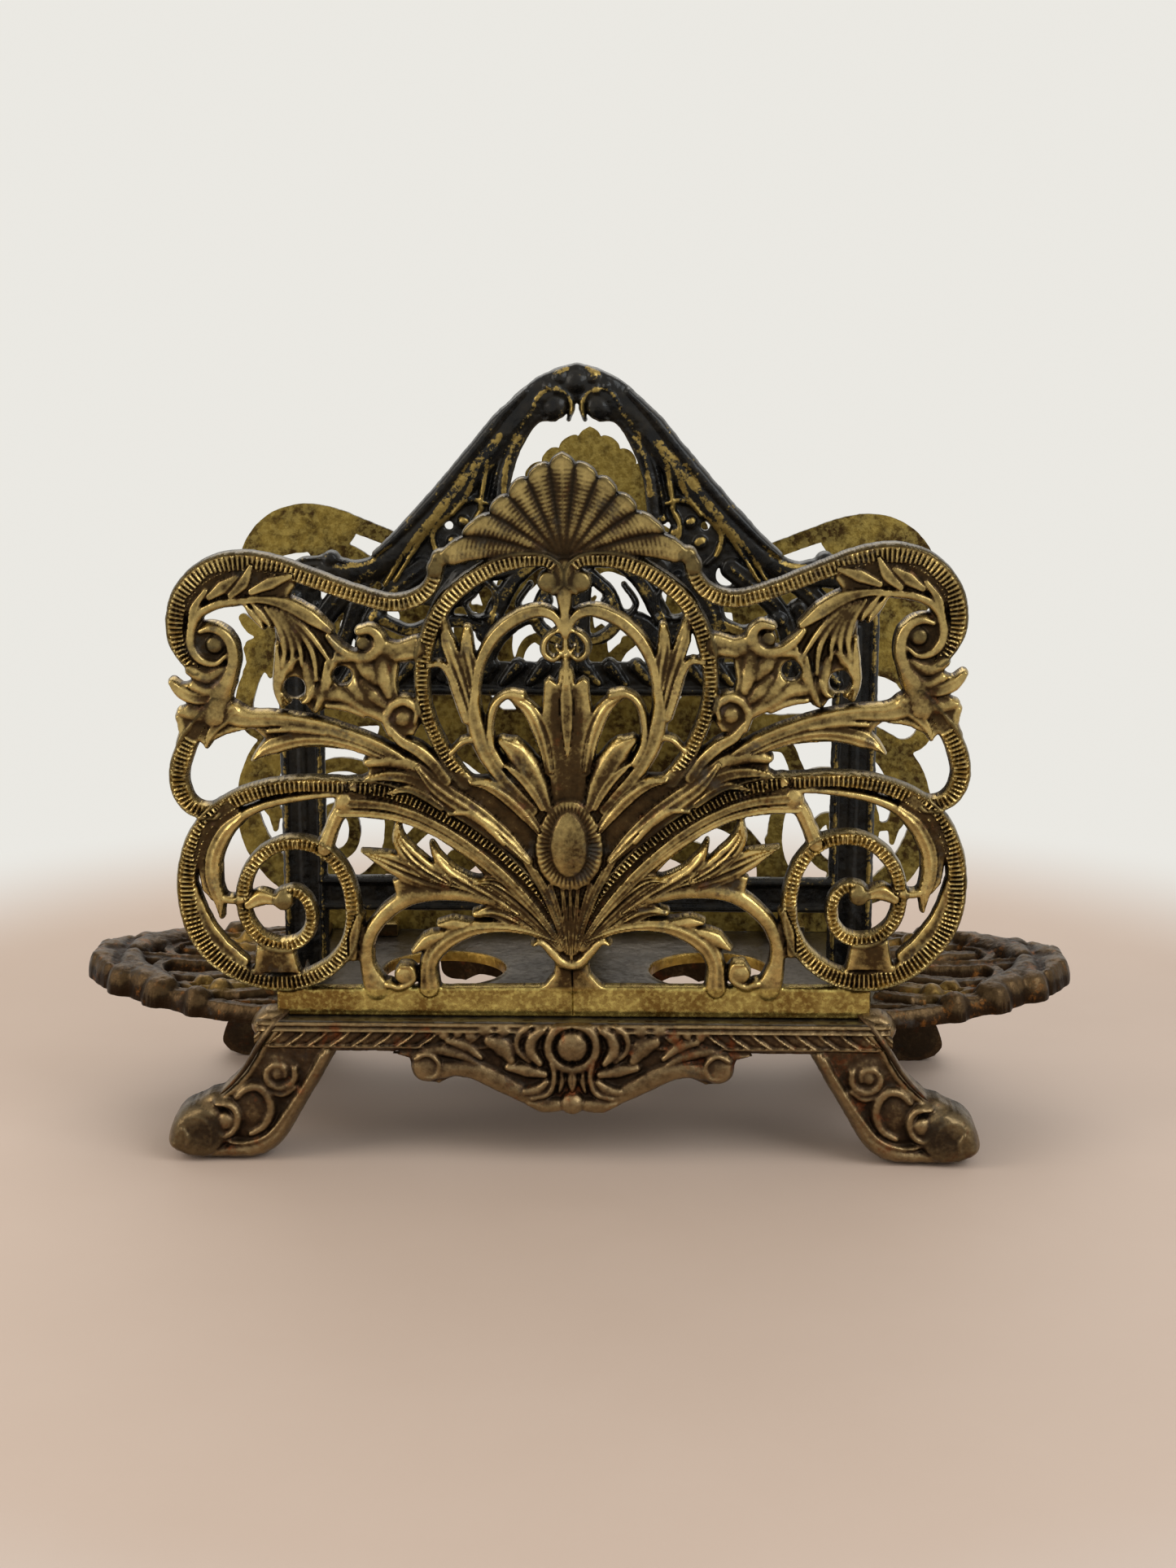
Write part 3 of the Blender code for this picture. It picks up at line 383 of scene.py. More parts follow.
def cast(relief, core, wall, edge_round=0.9, two_faced=False, back_slot=1):
    """A casting as a Skin: its face stands core plus the relief above z = 0, falling in a rounded
    edge to wall. Its back is flat at z = 0, or the same as its face if it is two-faced."""
    inside = relief.edge < -0.02
    full = core + relief.high
    depth = np.clip(-relief.edge / edge_round, 0, 1)
    top = wall + (full - wall) * np.sqrt(np.clip(1 - (1 - depth) ** 2, 0, 1))
    # How proud each spot stands, later painted as lighter crests (rubbed, painted highlight) and darker
    # hollows (tarnish, painted shade).
    wear = wear_of(np.where(inside, top, wall * 0.4))
    across = inside[:, :-1] != inside[:, 1:]
    upward = inside[:-1] != inside[1:]
    number = np.full(inside.shape, -1)
    number[inside] = np.arange(inside.sum())
    side_x = np.full(across.shape, -1)
    side_x[across] = inside.sum() + np.arange(across.sum())
    side_y = np.full(upward.shape, -1)
    side_y[upward] = inside.sum() + across.sum() + np.arange(upward.sum())

    def crossing(a, b):
        return np.clip(a / (a - b + 1e-12), 0.06, 0.94)

    e = relief.edge + 0.02
    tx = crossing(e[:, :-1], e[:, 1:])[across]
    ty = crossing(e[:-1], e[1:])[upward]
    xs = [relief.xx[inside], relief.xx[:, :-1][across] + tx * relief.cell, relief.xx[:-1][upward]]
    ys = [relief.yy[inside], relief.yy[:, :-1][across], relief.yy[:-1][upward] + ty * relief.cell]
    x, y = np.concatenate(xs), np.concatenate(ys)
    rim = len(x) - int(inside.sum())
    z = np.concatenate([top[inside], np.full(rim, wall)])
    edge_wear = np.concatenate([wear[:, :-1][across], wear[:-1][upward]])
    all_wear = np.concatenate([wear[inside], edge_wear])
    tint, tone = (np.concatenate([field[inside], field[:, :-1][across], field[:-1][upward]])
                  for field in (relief.tint, relief.tone))

    skin = Skin()
    skin.add_points(np.column_stack([x, y, z]), all_wear, tint, tone)
    low = -z if two_faced else np.zeros(len(x))
    low_wear = all_wear if two_faced else 0.0
    below = skin.add_points(np.column_stack([x, y, low]), low_wear, tint, tone)
    code = (inside[:-1, :-1] * 1 + inside[:-1, 1:] * 2 + inside[1:, 1:] * 4 + inside[1:, :-1] * 8)
    slots = np.stack([number[:-1, :-1], number[:-1, 1:], number[1:, 1:], number[1:, :-1],
                      side_x[:-1], side_y[:, 1:], side_x[1:], side_y[:, :-1]])
    for value in range(1, 16):
        cells = np.nonzero(code == value)
        if not len(cells[0]):
            continue
        ring = cell_outline(value)
        corners = np.stack([slots[k][cells] for k in ring], axis=1)
        skin.add_faces(corners, 0)
        skin.add_faces(corners[:, ::-1] + below, back_slot)
        for at, k in enumerate(ring):
            if k >= 4 and value >> (k - 4) & 1:
                out, into = corners[:, at], corners[:, (at + 1) % len(ring)]
                skin.add_faces(np.stack([out + below, into + below, into, out], axis=1), 0)
    return skin


# --------------------------------------------------------- ornament of a panel, drawn on its left
# x is across the panel from its middle and y is up from its lower edge.
STRIP_HEIGHT = 9.4
STRIP_HALF = 86.0
PANEL_LEAN = math.radians(2.5)
PANEL_SKEW = math.radians(0.9)
PANEL_SHY = 0.1          # how far the relief stays behind the casting's front plane, mm
SHELL_CENTRE = (0.0, 133.0)
SHELL_REACH = [(0, 30.4), (12, 28.2), (25, 26.6), (40, 25.6), (55, 26.0), (65, 27.8), (75, 30.6),
               (83, 33.6), (90, 33.0)]
SHELL_FLUTES = 11
SHELL_SPREAD = 82.0      # how far the shell opens on either side of upright, degrees
KNEE = 0.55              # share of a panel's relief that keeps its height; the rest is compressed


def upper_lobe(r):
    """The milled rim that rolls over the outer corner, with the leaves that grow under it."""
    rim = [(-35.2, 132.8), (-36.2, 128.6), (-39.2, 124.8), (-44.4, 122.6), (-50, 122.6), (-58, 125.0),
           (-65, 127.6), (-72, 130.3), (-80, 133.2), (-88, 134.6), (-95, 133.8), (-101.4, 130.6),
           (-106, 125.4), (-108.3, 119), (-108.3, 112.6), (-106.2, 107.4), (-103.4, 104.6)]
    r.polygon([(-105.4, 111), (-104.6, 119), (-101, 123.4), (-95, 124.8), (-85, 125), (-77, 124),
               (-74.4, 127.6), (-75.4, 131), (-88, 132.4), (-98, 131), (-105, 124)], 1.7)
    r.band(rim, (4.4, 5.0, 5.0, 5.0, 5.2, 5.4, 5.8, 6.2, 6.2, 5.6, 3.2), 3.2, rim=-1)
    r.ball(-35.6, 131.8, 2.6, 1.9, base=1.4, tone=0.6)
    leaves = (
        ([(-104.2, 116), (-102.8, 121.6), (-99.4, 126.6)], 3.4),
        ([(-98.4, 124.8), (-95, 127.2), (-90.6, 130.4)], 5.2),
        ([(-92.4, 125.2), (-88.8, 128.6), (-86.4, 133.2)], 4.6),
        ([(-86.6, 126.2), (-81, 128.6), (-75.6, 130.4)], 5.0)
    )
    for line, wide in leaves:
        r.stem(line, (2.6, wide, 1.8), 3.3, grooves=1)


def volute(r):
    """The wave at the shoulder that curls over a bowl, on the leaf that spills over the edge."""
    r.ball(-99.2, 111.4, 6.6, 0.0, base=1.4)
    r.polygon([(-105.6, 105.6), (-94, 105), (-92.4, 100), (-95, 92), (-90, 86.8), (-96, 85.4),
               (-100, 83.4), (-101.8, 81.4), (-104.4, 84), (-109.6, 87), (-109.2, 92.4), (-106, 95),
               (-109.6, 99), (-105, 101)], 1.8)
    r.stem([(-91, 123.4), (-96, 122.8), (-101.2, 120.4), (-104, 115.8), (-104.3, 110.8), (-101.8, 107),
            (-97.6, 106), (-94.6, 108.4)], (2.6, 3.0, 3.2, 3.2, 3.2, 3.0, 2.4, 1.4), 3.1)
    r.stem([(-101.6, 115.2), (-98.6, 116), (-95.2, 114.8), (-93, 111.4), (-92.8, 106.4), (-94.6, 101.4),
            (-97.6, 96.8), (-98.6, 91)], (1.6, 3.0, 3.8, 4.2, 4.4, 5.4, 7.0, 8.0), 3.5)
    r.ball(-97.6, 111.4, 2.7, 2.2, base=1.2, tone=0.6)
    r.stem([(-105, 104), (-100.4, 102), (-95.6, 104.6)], (3.6, 4.6, 2.6), 3.0)
    r.stem([(-104.4, 99.8), (-100, 98), (-95.6, 100.4)], (3.0, 3.6, 2.0), 3.2)
    r.stem([(-98.6, 96.4), (-103.6, 96.2), (-108, 98), (-110.4, 100.6)], (4.0, 5.2, 4.8, 2.8), 3.0,
           grooves=1)
    r.stem([(-99, 92), (-104, 91.4), (-108.6, 92.2)], (5.6, 5.2, 2.4), 2.7)
    r.stem([(-93.6, 92.4), (-97.6, 89), (-100.4, 85.6), (-101.8, 82)], (5.0, 5.4, 3.4, 1.2), 3.0, grooves=1)


def lower_lobe(r):
    """The milled rim between the shoulder and the great scroll."""
    rim = [(-98.2, 95), (-101.6, 90.8), (-105, 86.4), (-108, 81.4), (-110, 75.6), (-110.2, 70.6),
           (-108.4, 66), (-105, 63.4), (-101, 63)]
    r.band(rim, (3.0, 4.0, 5.6, 6.0, 5.8, 5.2, 4.8), 3.0, rim=-1)
    r.stem([(-109.2, 90.6), (-108, 87), (-109.6, 83)], (2.6, 3.0, 2.0), 2.2)


SCROLL = [(-57, 69.8), (-65, 70.4), (-75, 70.7), (-85, 69.6), (-94, 66.6), (-101, 62.2), (-105.8, 56.4),
          (-108.8, 49), (-110, 41), (-109.4, 33), (-107.2, 26), (-103.2, 20), (-97.6, 15.2), (-91, 12.1),
          (-84, 11), (-77, 12), (-71, 15), (-66.4, 19.4), (-63.4, 25), (-62.4, 31.4), (-62.8, 38),
          (-64.6, 44), (-67.8, 49), (-72.6, 52.4), (-78.4, 53.5), (-84.4, 52.2), (-89.6, 48.2),
          (-93, 42.4), (-94, 36), (-93, 30), (-89.8, 25.4), (-85, 23), (-80, 23.2), (-76, 26), (-74.5, 31),
          (-75.5, 36), (-78.8, 39), (-82.4, 38.4)]


def great_scroll(r):
    """The large milled C that ends in a spiral, with its inner leaf and its pad on the strip."""
    r.ground([(-107.4, 40), (-105.6, 31), (-101, 23.4), (-94.6, 17.8)], (1.6, 4.2, 4.4, 3.0), 1.3)
    r.polygon([(-90.8, 23), (-80, 21.5), (-78.4, 14), (-92.4, 14)], 2.2)
    r.polygon([(-97, 66), (-92.4, 62.8), (-97, 57), (-99.8, 49), (-100, 42), (-103, 36.6), (-105.6, 39.6),
               (-107, 50), (-104, 58)], 1.8)
    r.band(SCROLL, (4.6, 4.8, 5.2, 5.8, 6.2, 6.0, 5.4, 4.8, 4.6, 4.4, 4.2, 4.0, 3.6), 3.1, rim=-1)
    r.ball(-82.2, 36.4, 3.1, 1.6, base=1.9, tone=0.7)
    r.stem([(-92.4, 35.2), (-88.6, 37.2), (-85, 36.6)], (3.6, 5.4, 3.8), 2.7, grooves=1)
    r.stem([(-58, 67), (-68, 67.6), (-80, 66.2), (-88, 64), (-94, 60.6), (-99, 55)],
           (1.8, 2.2, 2.6, 3.0, 3.4, 2.4), 2.3)
    r.stem([(-92.6, 62), (-98, 57), (-101.6, 50), (-102.2, 43), (-100.8, 36.8), (-100.4, 31.6)],
           (3.0, 5.2, 5.6, 5.4, 4.6, 1.6), 3.0, grooves=2)
    r.stem([(-101, 37.4), (-97.6, 36.6), (-94.6, 36.8)], (3.0, 2.8, 3.0), 2.7)
    r.stem([(-69.8, 51.8), (-67.8, 57), (-65.4, 62), (-61.4, 66)], (5.2, 4.4, 4.8, 7.0), 2.7, grooves=2)
    r.ball(-63.4, 65.4, 3.0, 1.4, base=1.7)


def fan(r):
    """Stems that rise from the foot of the panel and open into the arms of the scrolls."""
    ground = [(-2, 18), (-10, 27), (-18, 36), (-28, 47), (-38, 55), (-48, 59.6), (-58, 60.6), (-65, 61.2),
              (-64, 66), (-56, 68), (-48, 68), (-46, 76), (-34, 74), (-26, 72.4), (-16, 72), (-9, 66),
              (0.2, 66), (0.2, 18)]
    r.polygon(ground, 1.5)
    r.band([(-60, 70.2), (-52, 69), (-44, 66.2), (-36, 61.8), (-28, 56.6), (-20, 50.4), (-13.6, 43.8),
            (-8.6, 37.4), (-5, 31), (-2.4, 24)], (4.8, 5.0, 4.8, 4.4, 4.0, 3.6, 3.2, 2.8, 2.2, 1.2), 3.3,
            rim=1)
    stems = (
        ([(-62, 65.4), (-52, 64.4), (-43, 61.4), (-34, 56.4), (-26, 50.4), (-18, 43), (-11, 35),
          (-5, 26.4), (-1.6, 20)], (4.6, 3.8, 3.4, 3.2, 3.0, 2.8, 2.4, 1.8, 1.0)),
        ([(-65, 62.4), (-55, 62), (-46, 60), (-38, 56.2), (-30, 51), (-22, 44.6), (-15, 37.8), (-9, 31),
          (-3.6, 23.6)], (3.2, 3.0, 3.0, 2.8, 2.8, 2.6, 2.4, 1.8, 1.0)),
        ([(-15.4, 52.6), (-11.4, 46), (-7.6, 38.4), (-4.4, 30), (-1.8, 21)], (2.4, 3.2, 2.8, 2.2, 1.0)),
        ([(-9.6, 44.6), (-6.8, 39), (-4, 31.4), (-1.6, 21)], (2.2, 2.8, 2.4, 1.0)),
        ([(-5.6, 40.4), (-3.8, 34), (-1.2, 20)], (2.2, 2.6, 1.2)),
        ([(-2.2, 39.4), (-1.6, 32), (-0.6, 20)], (2.0, 2.2, 1.2)),
        ([(0, 39), (0, 30), (0, 18.4)], (1.8, 2.0, 1.8))
    )
    for line, widths in stems:
        r.stem(line, widths, 3.0, grooves=1)


def low_acanthus(r):
    """The leaves beside the fan, the arched stems and the balls that stand on the strip."""
    r.polygon([(-51, 42), (-50, 37.4), (-44, 36), (-30, 36.6), (-22, 35), (-14, 30), (-6, 23), (-14, 36),
               (-24, 42), (-30, 44), (-40, 46)], 1.7)
    r.stem([(-22, 35.6), (-31, 37.6), (-40, 38), (-47, 36.4), (-53, 32.2), (-57.4, 26.6), (-59.2, 20),
            (-58.4, 14), (-56.6, 9)], (3.4, 4.2, 4.8, 5.2, 5.0, 4.6, 4.4, 4.8, 7.6), 2.6)
    r.leaf([(-59.2, 50.8), (-53, 48.2), (-46, 45), (-39, 42.2), (-31, 39.8), (-23, 36.4), (-15, 31.4),
            (-8, 25.6), (-3, 20.6)], (1.0, 6.0, 7.6, 6.6, 5.2, 4.4, 3.8, 2.6, 1.2), 3.0, veins=2)
    r.leaf([(-48.8, 58.8), (-48.4, 54), (-45.6, 49.6), (-41, 45.4), (-35, 41.6)],
           (1.8, 4.8, 6.0, 5.6, 3.4), 3.2, veins=2)
    r.leaf([(-39.2, 52.8), (-37.6, 48.8), (-34.4, 44.8), (-29.6, 41.6), (-23, 37.6), (-15, 32)],
           (1.6, 4.0, 4.2, 3.8, 3.4, 1.8), 3.2, veins=1)
    r.leaf([(-27, 41.6), (-22, 41.2), (-17, 38), (-12, 33.4), (-7.4, 28), (-3, 21.4)],
           (1.6, 5.4, 6.2, 5.2, 3.6, 1.2), 3.2, veins=2)
    r.leaf([(-27.2, 31.8), (-22, 32.4), (-16, 30), (-9, 25.6), (-4, 21.4)], (2.6, 4.6, 4.8, 3.2, 1.2), 3.0,
           veins=1)
    r.polygon([(-65, 27), (-60.6, 32.4), (-58.4, 24), (-60, 17.6), (-66, 17.8)], 1.6)
    r.stem([(-60.6, 31.4), (-62.4, 25.6), (-63, 19.4)], (3.0, 4.0, 3.6), 2.6, grooves=1)
    r.stem([(-4, 23.6), (-12, 26.6), (-20, 28), (-28, 27.6), (-34.6, 25), (-39.4, 20.8), (-41.4, 15.6),
            (-41.4, 9)], (1.8, 3.0, 3.6, 4.8, 6.2, 6.6, 5.6, 6.8), 2.9, grooves=2)
    r.stem([(-30, 28), (-34, 28.8), (-37.8, 28.8)], (4.0, 4.4, 2.0), 2.7)
    r.stem([(-37, 25.4), (-41, 24), (-45.4, 20.8)], (4.0, 4.8, 2.2), 2.7)
    r.ball(-48.2, 13.4, 3.3, 1.4, base=1.6)
    r.stem([(-53, 10.4), (-49.6, 9.6), (-45.8, 12), (-46.4, 16), (-49.4, 16.4)], (3.0, 2.6, 2.4, 2.2, 1.6),
           3.0)
    r.stem([(-11, 22.6), (-8.6, 23.2), (-5.4, 20), (-2.6, 17), (0, 16.2)], (1.8, 2.8, 3.4, 3.4, 3.2), 3.2)
    r.polygon([(-9, 9), (-5.4, 13.4), (-4.8, 18), (0.2, 20), (0.2, 8)], 1.6)


def oval(r):
    """The polished pear-shaped boss in the middle, in its milled collar."""
    for cy, half_wide, half_high in ((52.4, 9.3, 12.8), (52.9, 5.5, 9.9)):
        win = r.window(-half_wide - 2, half_wide + 2, cy - half_high - 2, cy + half_high + 2)
        y = (r.yy[win] - cy) / half_high
        x = r.xx[win] / (half_wide * (1 - 0.10 * np.clip(y, -1, 1)))
        out = np.hypot(x, y)
        if half_wide > 6:
            ribs = 0.5 + 0.5 * np.cos(np.arctan2(y, x) * 46)
            height = 2.7 + 0.4 * dome((out - 0.84) / 0.3)
            fine = 0.40 * ribs * np.clip((1 - out) * 12, 0, 1)
        else:
            height = 2.8 + 2.8 * dome(out) ** 0.8 - 0.5 * np.abs(x) * np.clip(y, 0, 1)
            r.tone[win] = np.maximum(r.tone[win], 0.2 * np.clip((1.04 - out) * 9, 0, 1))
            fine = 0.0
        r.join(win, (out - 1) * half_wide, height, fine)


def shell(r):
    """The fluted fan at the top: domed lobes with a crest along each, fine cross-ribs and a
    groove between one lobe and the next, darkened with painted shade as are the lobes' rims."""
    cx, cy = SHELL_CENTRE
    win = r.window(-38, 0.5, 129, 166)
    x, y = r.xx[win] - cx, r.yy[win] - cy
    out = np.hypot(x, y)
    tilt = np.degrees(np.arctan2(np.abs(x), y))
    angles, radii = zip(*SHELL_REACH)
    # the outer flutes droop: their lines bend down towards the rim
    bent = tilt - 9.0 * np.clip(out / 30, 0, 1) ** 2 * np.clip((tilt - 30) / 50, 0, 1)
    flute = bent / (2 * SHELL_SPREAD / SHELL_FLUTES) + 0.5
    across = 2 * (flute - np.floor(flute)) - 1
    reach = np.interp(tilt, angles, radii)
    lobe = reach - 2.0 * (1 - np.sqrt(np.clip(1 - across ** 2 * 0.98, 0, 1)))
    t = np.clip(out / reach, 0, 1.05)
    swell = np.sin(math.pi * np.clip(t, 0, 1) ** 0.8 * 0.62)
    lobes = np.sqrt(np.clip(1 - across ** 2, 0, 1))
    crest = np.exp(-(across / 0.11) ** 2)
    ribs = 0.5 + 0.5 * np.cos(2 * math.pi * out / 1.2)
    height = 0.2 + 0.9 * swell + t * (2.4 * lobes + 0.6 * crest) + 0.5 * np.exp(-((lobe - out) / 0.8) ** 2)
    fine = 0.42 * ribs * np.clip(t * 3 - 0.6, 0, 1) * lobes * (1 - crest) * (lobe - out > 1.2)
    droop = (bent - SHELL_SPREAD) * math.pi / 180 * out
    r.join(win, np.maximum(out - lobe, droop), height, fine)
    # Painted shade: tone darkens the grooves between the lobes and the outer rims of the lobes.
    shade = 0.5 * np.clip((out - lobe + 1.6) / 0.8, 0, 1) + 0.9 * (1 - lobes) * np.clip(t * 2, 0, 1)
    r.tone[win] = np.maximum(r.tone[win], shade * (out < lobe) * (droop < 0))
    r.ball(-34.2, 134.6, 2.6, 1.8, base=1.4, tone=0.5)


def horseshoe(r):
    """The milled horseshoe that frames the middle, ending in balls under the shell."""
    r.band([(-1.8, 127.4), (-1.9, 131), (-5, 133.6), (-11, 134), (-18, 132.6), (-25, 129.2), (-31, 124.6),
            (-35.4, 119), (-38.2, 112.6), (-40, 105), (-40.3, 98), (-39.3, 91), (-37.2, 85), (-34.8, 79.6),
            (-32, 75), (-29, 71)], (3.2, 4.0, 5.0, 5.2, 5.2, 5.2, 5.2, 4.8, 4.4, 4.4, 4.6, 5.0),
            (3.5, 3.5, 3.5, 3.5, 3.4, 2.2), rim=-1)
    r.ball(-4.4, 127.8, 3.3, 2.2, base=0.9, tone=0.5)


def inner_arch(r):
    """The plain arch inside the horseshoe, its small curl and the leaves on its back."""
    r.stem([(0, 131), (0, 125), (-0.2, 119.6), (-0.4, 113)], (6.6, 5.2, 3.0, 2.4), 2.7)
    r.stem([(-1.6, 126.4), (-3.2, 124.6)], (2.4, 1.6), 2.8)
    arch = [(-1.0, 114), (-2.6, 117.8), (-6, 119.6), (-10, 119.2), (-15, 116.8), (-19.6, 112.8),
            (-22.8, 107.8), (-24.6, 102.6), (-25.4, 97), (-26, 91.4), (-25.2, 86), (-23.4, 80),
            (-20.4, 74.6), (-15.6, 68.6), (-10, 62.6)]
    widths = (1.8, 3.6, 4.4, 4.4, 4.2, 4.0, 3.4, 3.2, 4.6, 6.0, 5.6, 5.0, 5.0, 5.0, 4.0)
    r.stem(arch, widths, 2.9, grooves=1)
    r.stem([(-0.6, 114.6), (-3.6, 113.4), (-5.8, 110.8), (-5.8, 107.6), (-3.4, 106), (-1.5, 107.6),
            (-2.6, 109.4)], (1.6, 2.0, 2.4, 2.4, 2.2, 1.8, 1.2), 2.6)
    r.stem([(0, 114), (0, 105.4)], (2.0, 2.8), 2.1)
    r.leaf([(-33.4, 117.8), (-33, 112.4), (-31, 106), (-28.8, 99), (-27, 92)], (1.4, 4.6, 4.4, 3.8, 3.0),
           2.9, veins=1)
    r.leaf([(-27.2, 115), (-27.4, 109), (-26.4, 103), (-25.8, 97)], (2.6, 4.4, 4.0, 3.0), 3.0, veins=1)
    r.stem([(-38.4, 104.8), (-34.6, 104.9), (-32, 101.4), (-30.2, 95.6), (-28.2, 89)],
           (2.0, 2.8, 3.6, 3.6, 3.2), 2.6, grooves=1)
    r.stem([(-33, 79.2), (-29.4, 82.6), (-25.6, 83.4)], (2.0, 2.6, 2.4), 2.3)


def middle(r):
    """The loop, the lily and the rounded leaves above the boss."""
    r.polygon([(-18, 70), (-16, 78), (-18.6, 83), (-14, 83.6), (-8, 77), (-5, 66), (-10, 62)], 1.8)
    r.stem([(-12.6, 95.6), (-16.6, 96), (-20.2, 93), (-21.6, 87.4), (-21.2, 81.4), (-18.8, 76)],
           (3.0, 2.8, 2.8, 2.6, 2.8, 3.2), 2.7)
    r.leaf([(-14.8, 95), (-11, 92.4), (-8.4, 88), (-6.4, 82), (-5, 74)], (2.8, 4.6, 5.0, 4.4, 3.4), 2.9,
           veins=1)
    r.polygon([(-4.4, 62), (-5.0, 72), (-6.0, 82), (-6.6, 92), (-6.4, 99.8), (-4.8, 101), (-2.6, 99.4),
               (-2.0, 103), (0.2, 105.4), (0.2, 62)], 2.0)
    r.stem([(-3.2, 66), (-4.4, 78), (-5.2, 89), (-4.6, 98.6)], (3.0, 4.4, 4.6, 2.6), 2.2)
    r.stem([(0, 79), (-0.2, 88), (-0.2, 96), (0, 103)], (1.6, 4.2, 4.4, 1.8), 3.0, grooves=1)
    r.stem([(0, 99), (0, 106.4)], (2.0, 1.6), 3.2)
    r.stem([(0, 64), (-0.4, 72), (0, 80)], (5.0, 3.6, 1.6), 2.1)
    r.stem([(-18.4, 82.8), (-14.6, 79.6), (-11.2, 74.6), (-8.2, 69), (-6, 63.6)],
           (3.0, 7.4, 8.0, 6.6, 4.0), 3.3, grooves=1)
    r.stem([(-17.4, 75.8), (-13.2, 72.4), (-9.8, 68), (-7.4, 63.4)], (1.6, 3.6, 3.8, 2.4), 3.6, grooves=1)
    r.stem([(-27.4, 71), (-22, 70), (-16.6, 66.4), (-11.6, 61), (-8.4, 56.6)], (1.8, 4.8, 5.8, 5.0, 3.0),
           3.3, grooves=2)


def branch(r):
    """The long stem that crosses to the outer rim, and the tongues where it leaves the fan."""
    r.polygon([(-95, 93), (-88, 87), (-84, 83), (-88.6, 78.2), (-76, 81.6), (-62, 81), (-50, 77),
               (-46, 80), (-60, 86), (-76, 91), (-88, 92)], 1.6)
    r.stem([(-96, 92), (-90, 89.8), (-80, 89.5), (-70, 87.8), (-62, 85.2), (-55, 82.4), (-49, 79),
            (-43, 74.6)], (8.0, 5.6, 5.0, 4.8, 4.8, 4.8, 4.8, 4.6), 2.9, grooves=1)
    r.stem([(-89, 78), (-84.4, 81.6), (-76, 84), (-68, 84), (-60, 82), (-52, 78.6)],
           (1.2, 6.0, 5.6, 4.6, 4.0, 3.0), 2.9, grooves=2)
    r.stem([(-84, 86.6), (-76, 87), (-68, 85.8)], (1.6, 2.8, 2.0), 3.1)
    r.polygon([(-57, 72), (-56, 78.4), (-48, 80), (-40, 75), (-38, 66), (-46, 67)], 1.6)
    r.stem([(-56.4, 77), (-50, 77.6), (-44, 76), (-38.6, 72)], (3.2, 4.8, 5.0, 4.4), 3.0)
    r.stem([(-57.2, 72.4), (-50.6, 73.2), (-44, 72.2), (-38.6, 69)], (1.6, 4.4, 5.0, 4.6), 3.2, grooves=1)
    r.stem([(-51, 68.2), (-45.6, 69.4), (-41, 67.6), (-36, 64)], (1.2, 3.4, 3.8, 3.0), 3.4, grooves=1)
    r.stem([(-42.4, 75.6), (-38, 69.8), (-32, 65), (-25, 60.2), (-18, 54.2), (-11.6, 47.6)],
           (3.0, 7.6, 8.4, 7.2, 5.6, 3.2), 3.4, grooves=3)
    r.stem([(-34, 62), (-28.6, 62.4), (-24, 59.4), (-18.6, 53.4)], (1.4, 3.4, 3.6, 2.4), 3.7)
    r.polygon([(-51.6, 91), (-49.6, 94.6), (-45, 96), (-41.6, 94), (-41, 88), (-43, 84.6), (-48.6, 84)],
              1.7)
    r.stem([(-50.4, 87.6), (-47, 83.4), (-42.4, 80.6), (-38, 76.6), (-34.4, 71.6)],
           (2.4, 4.0, 4.8, 4.8, 4.6), 2.9, grooves=1)
    r.ball(-45.9, 89.6, 2.6, 1.5, base=1.2)
    r.stem([(-49.8, 85.4), (-50.8, 89.6), (-48.8, 93.4), (-45, 94.6), (-42, 92), (-42.6, 88.6)],
           (2.4, 3.0, 3.2, 3.2, 2.6, 1.6), 3.0)


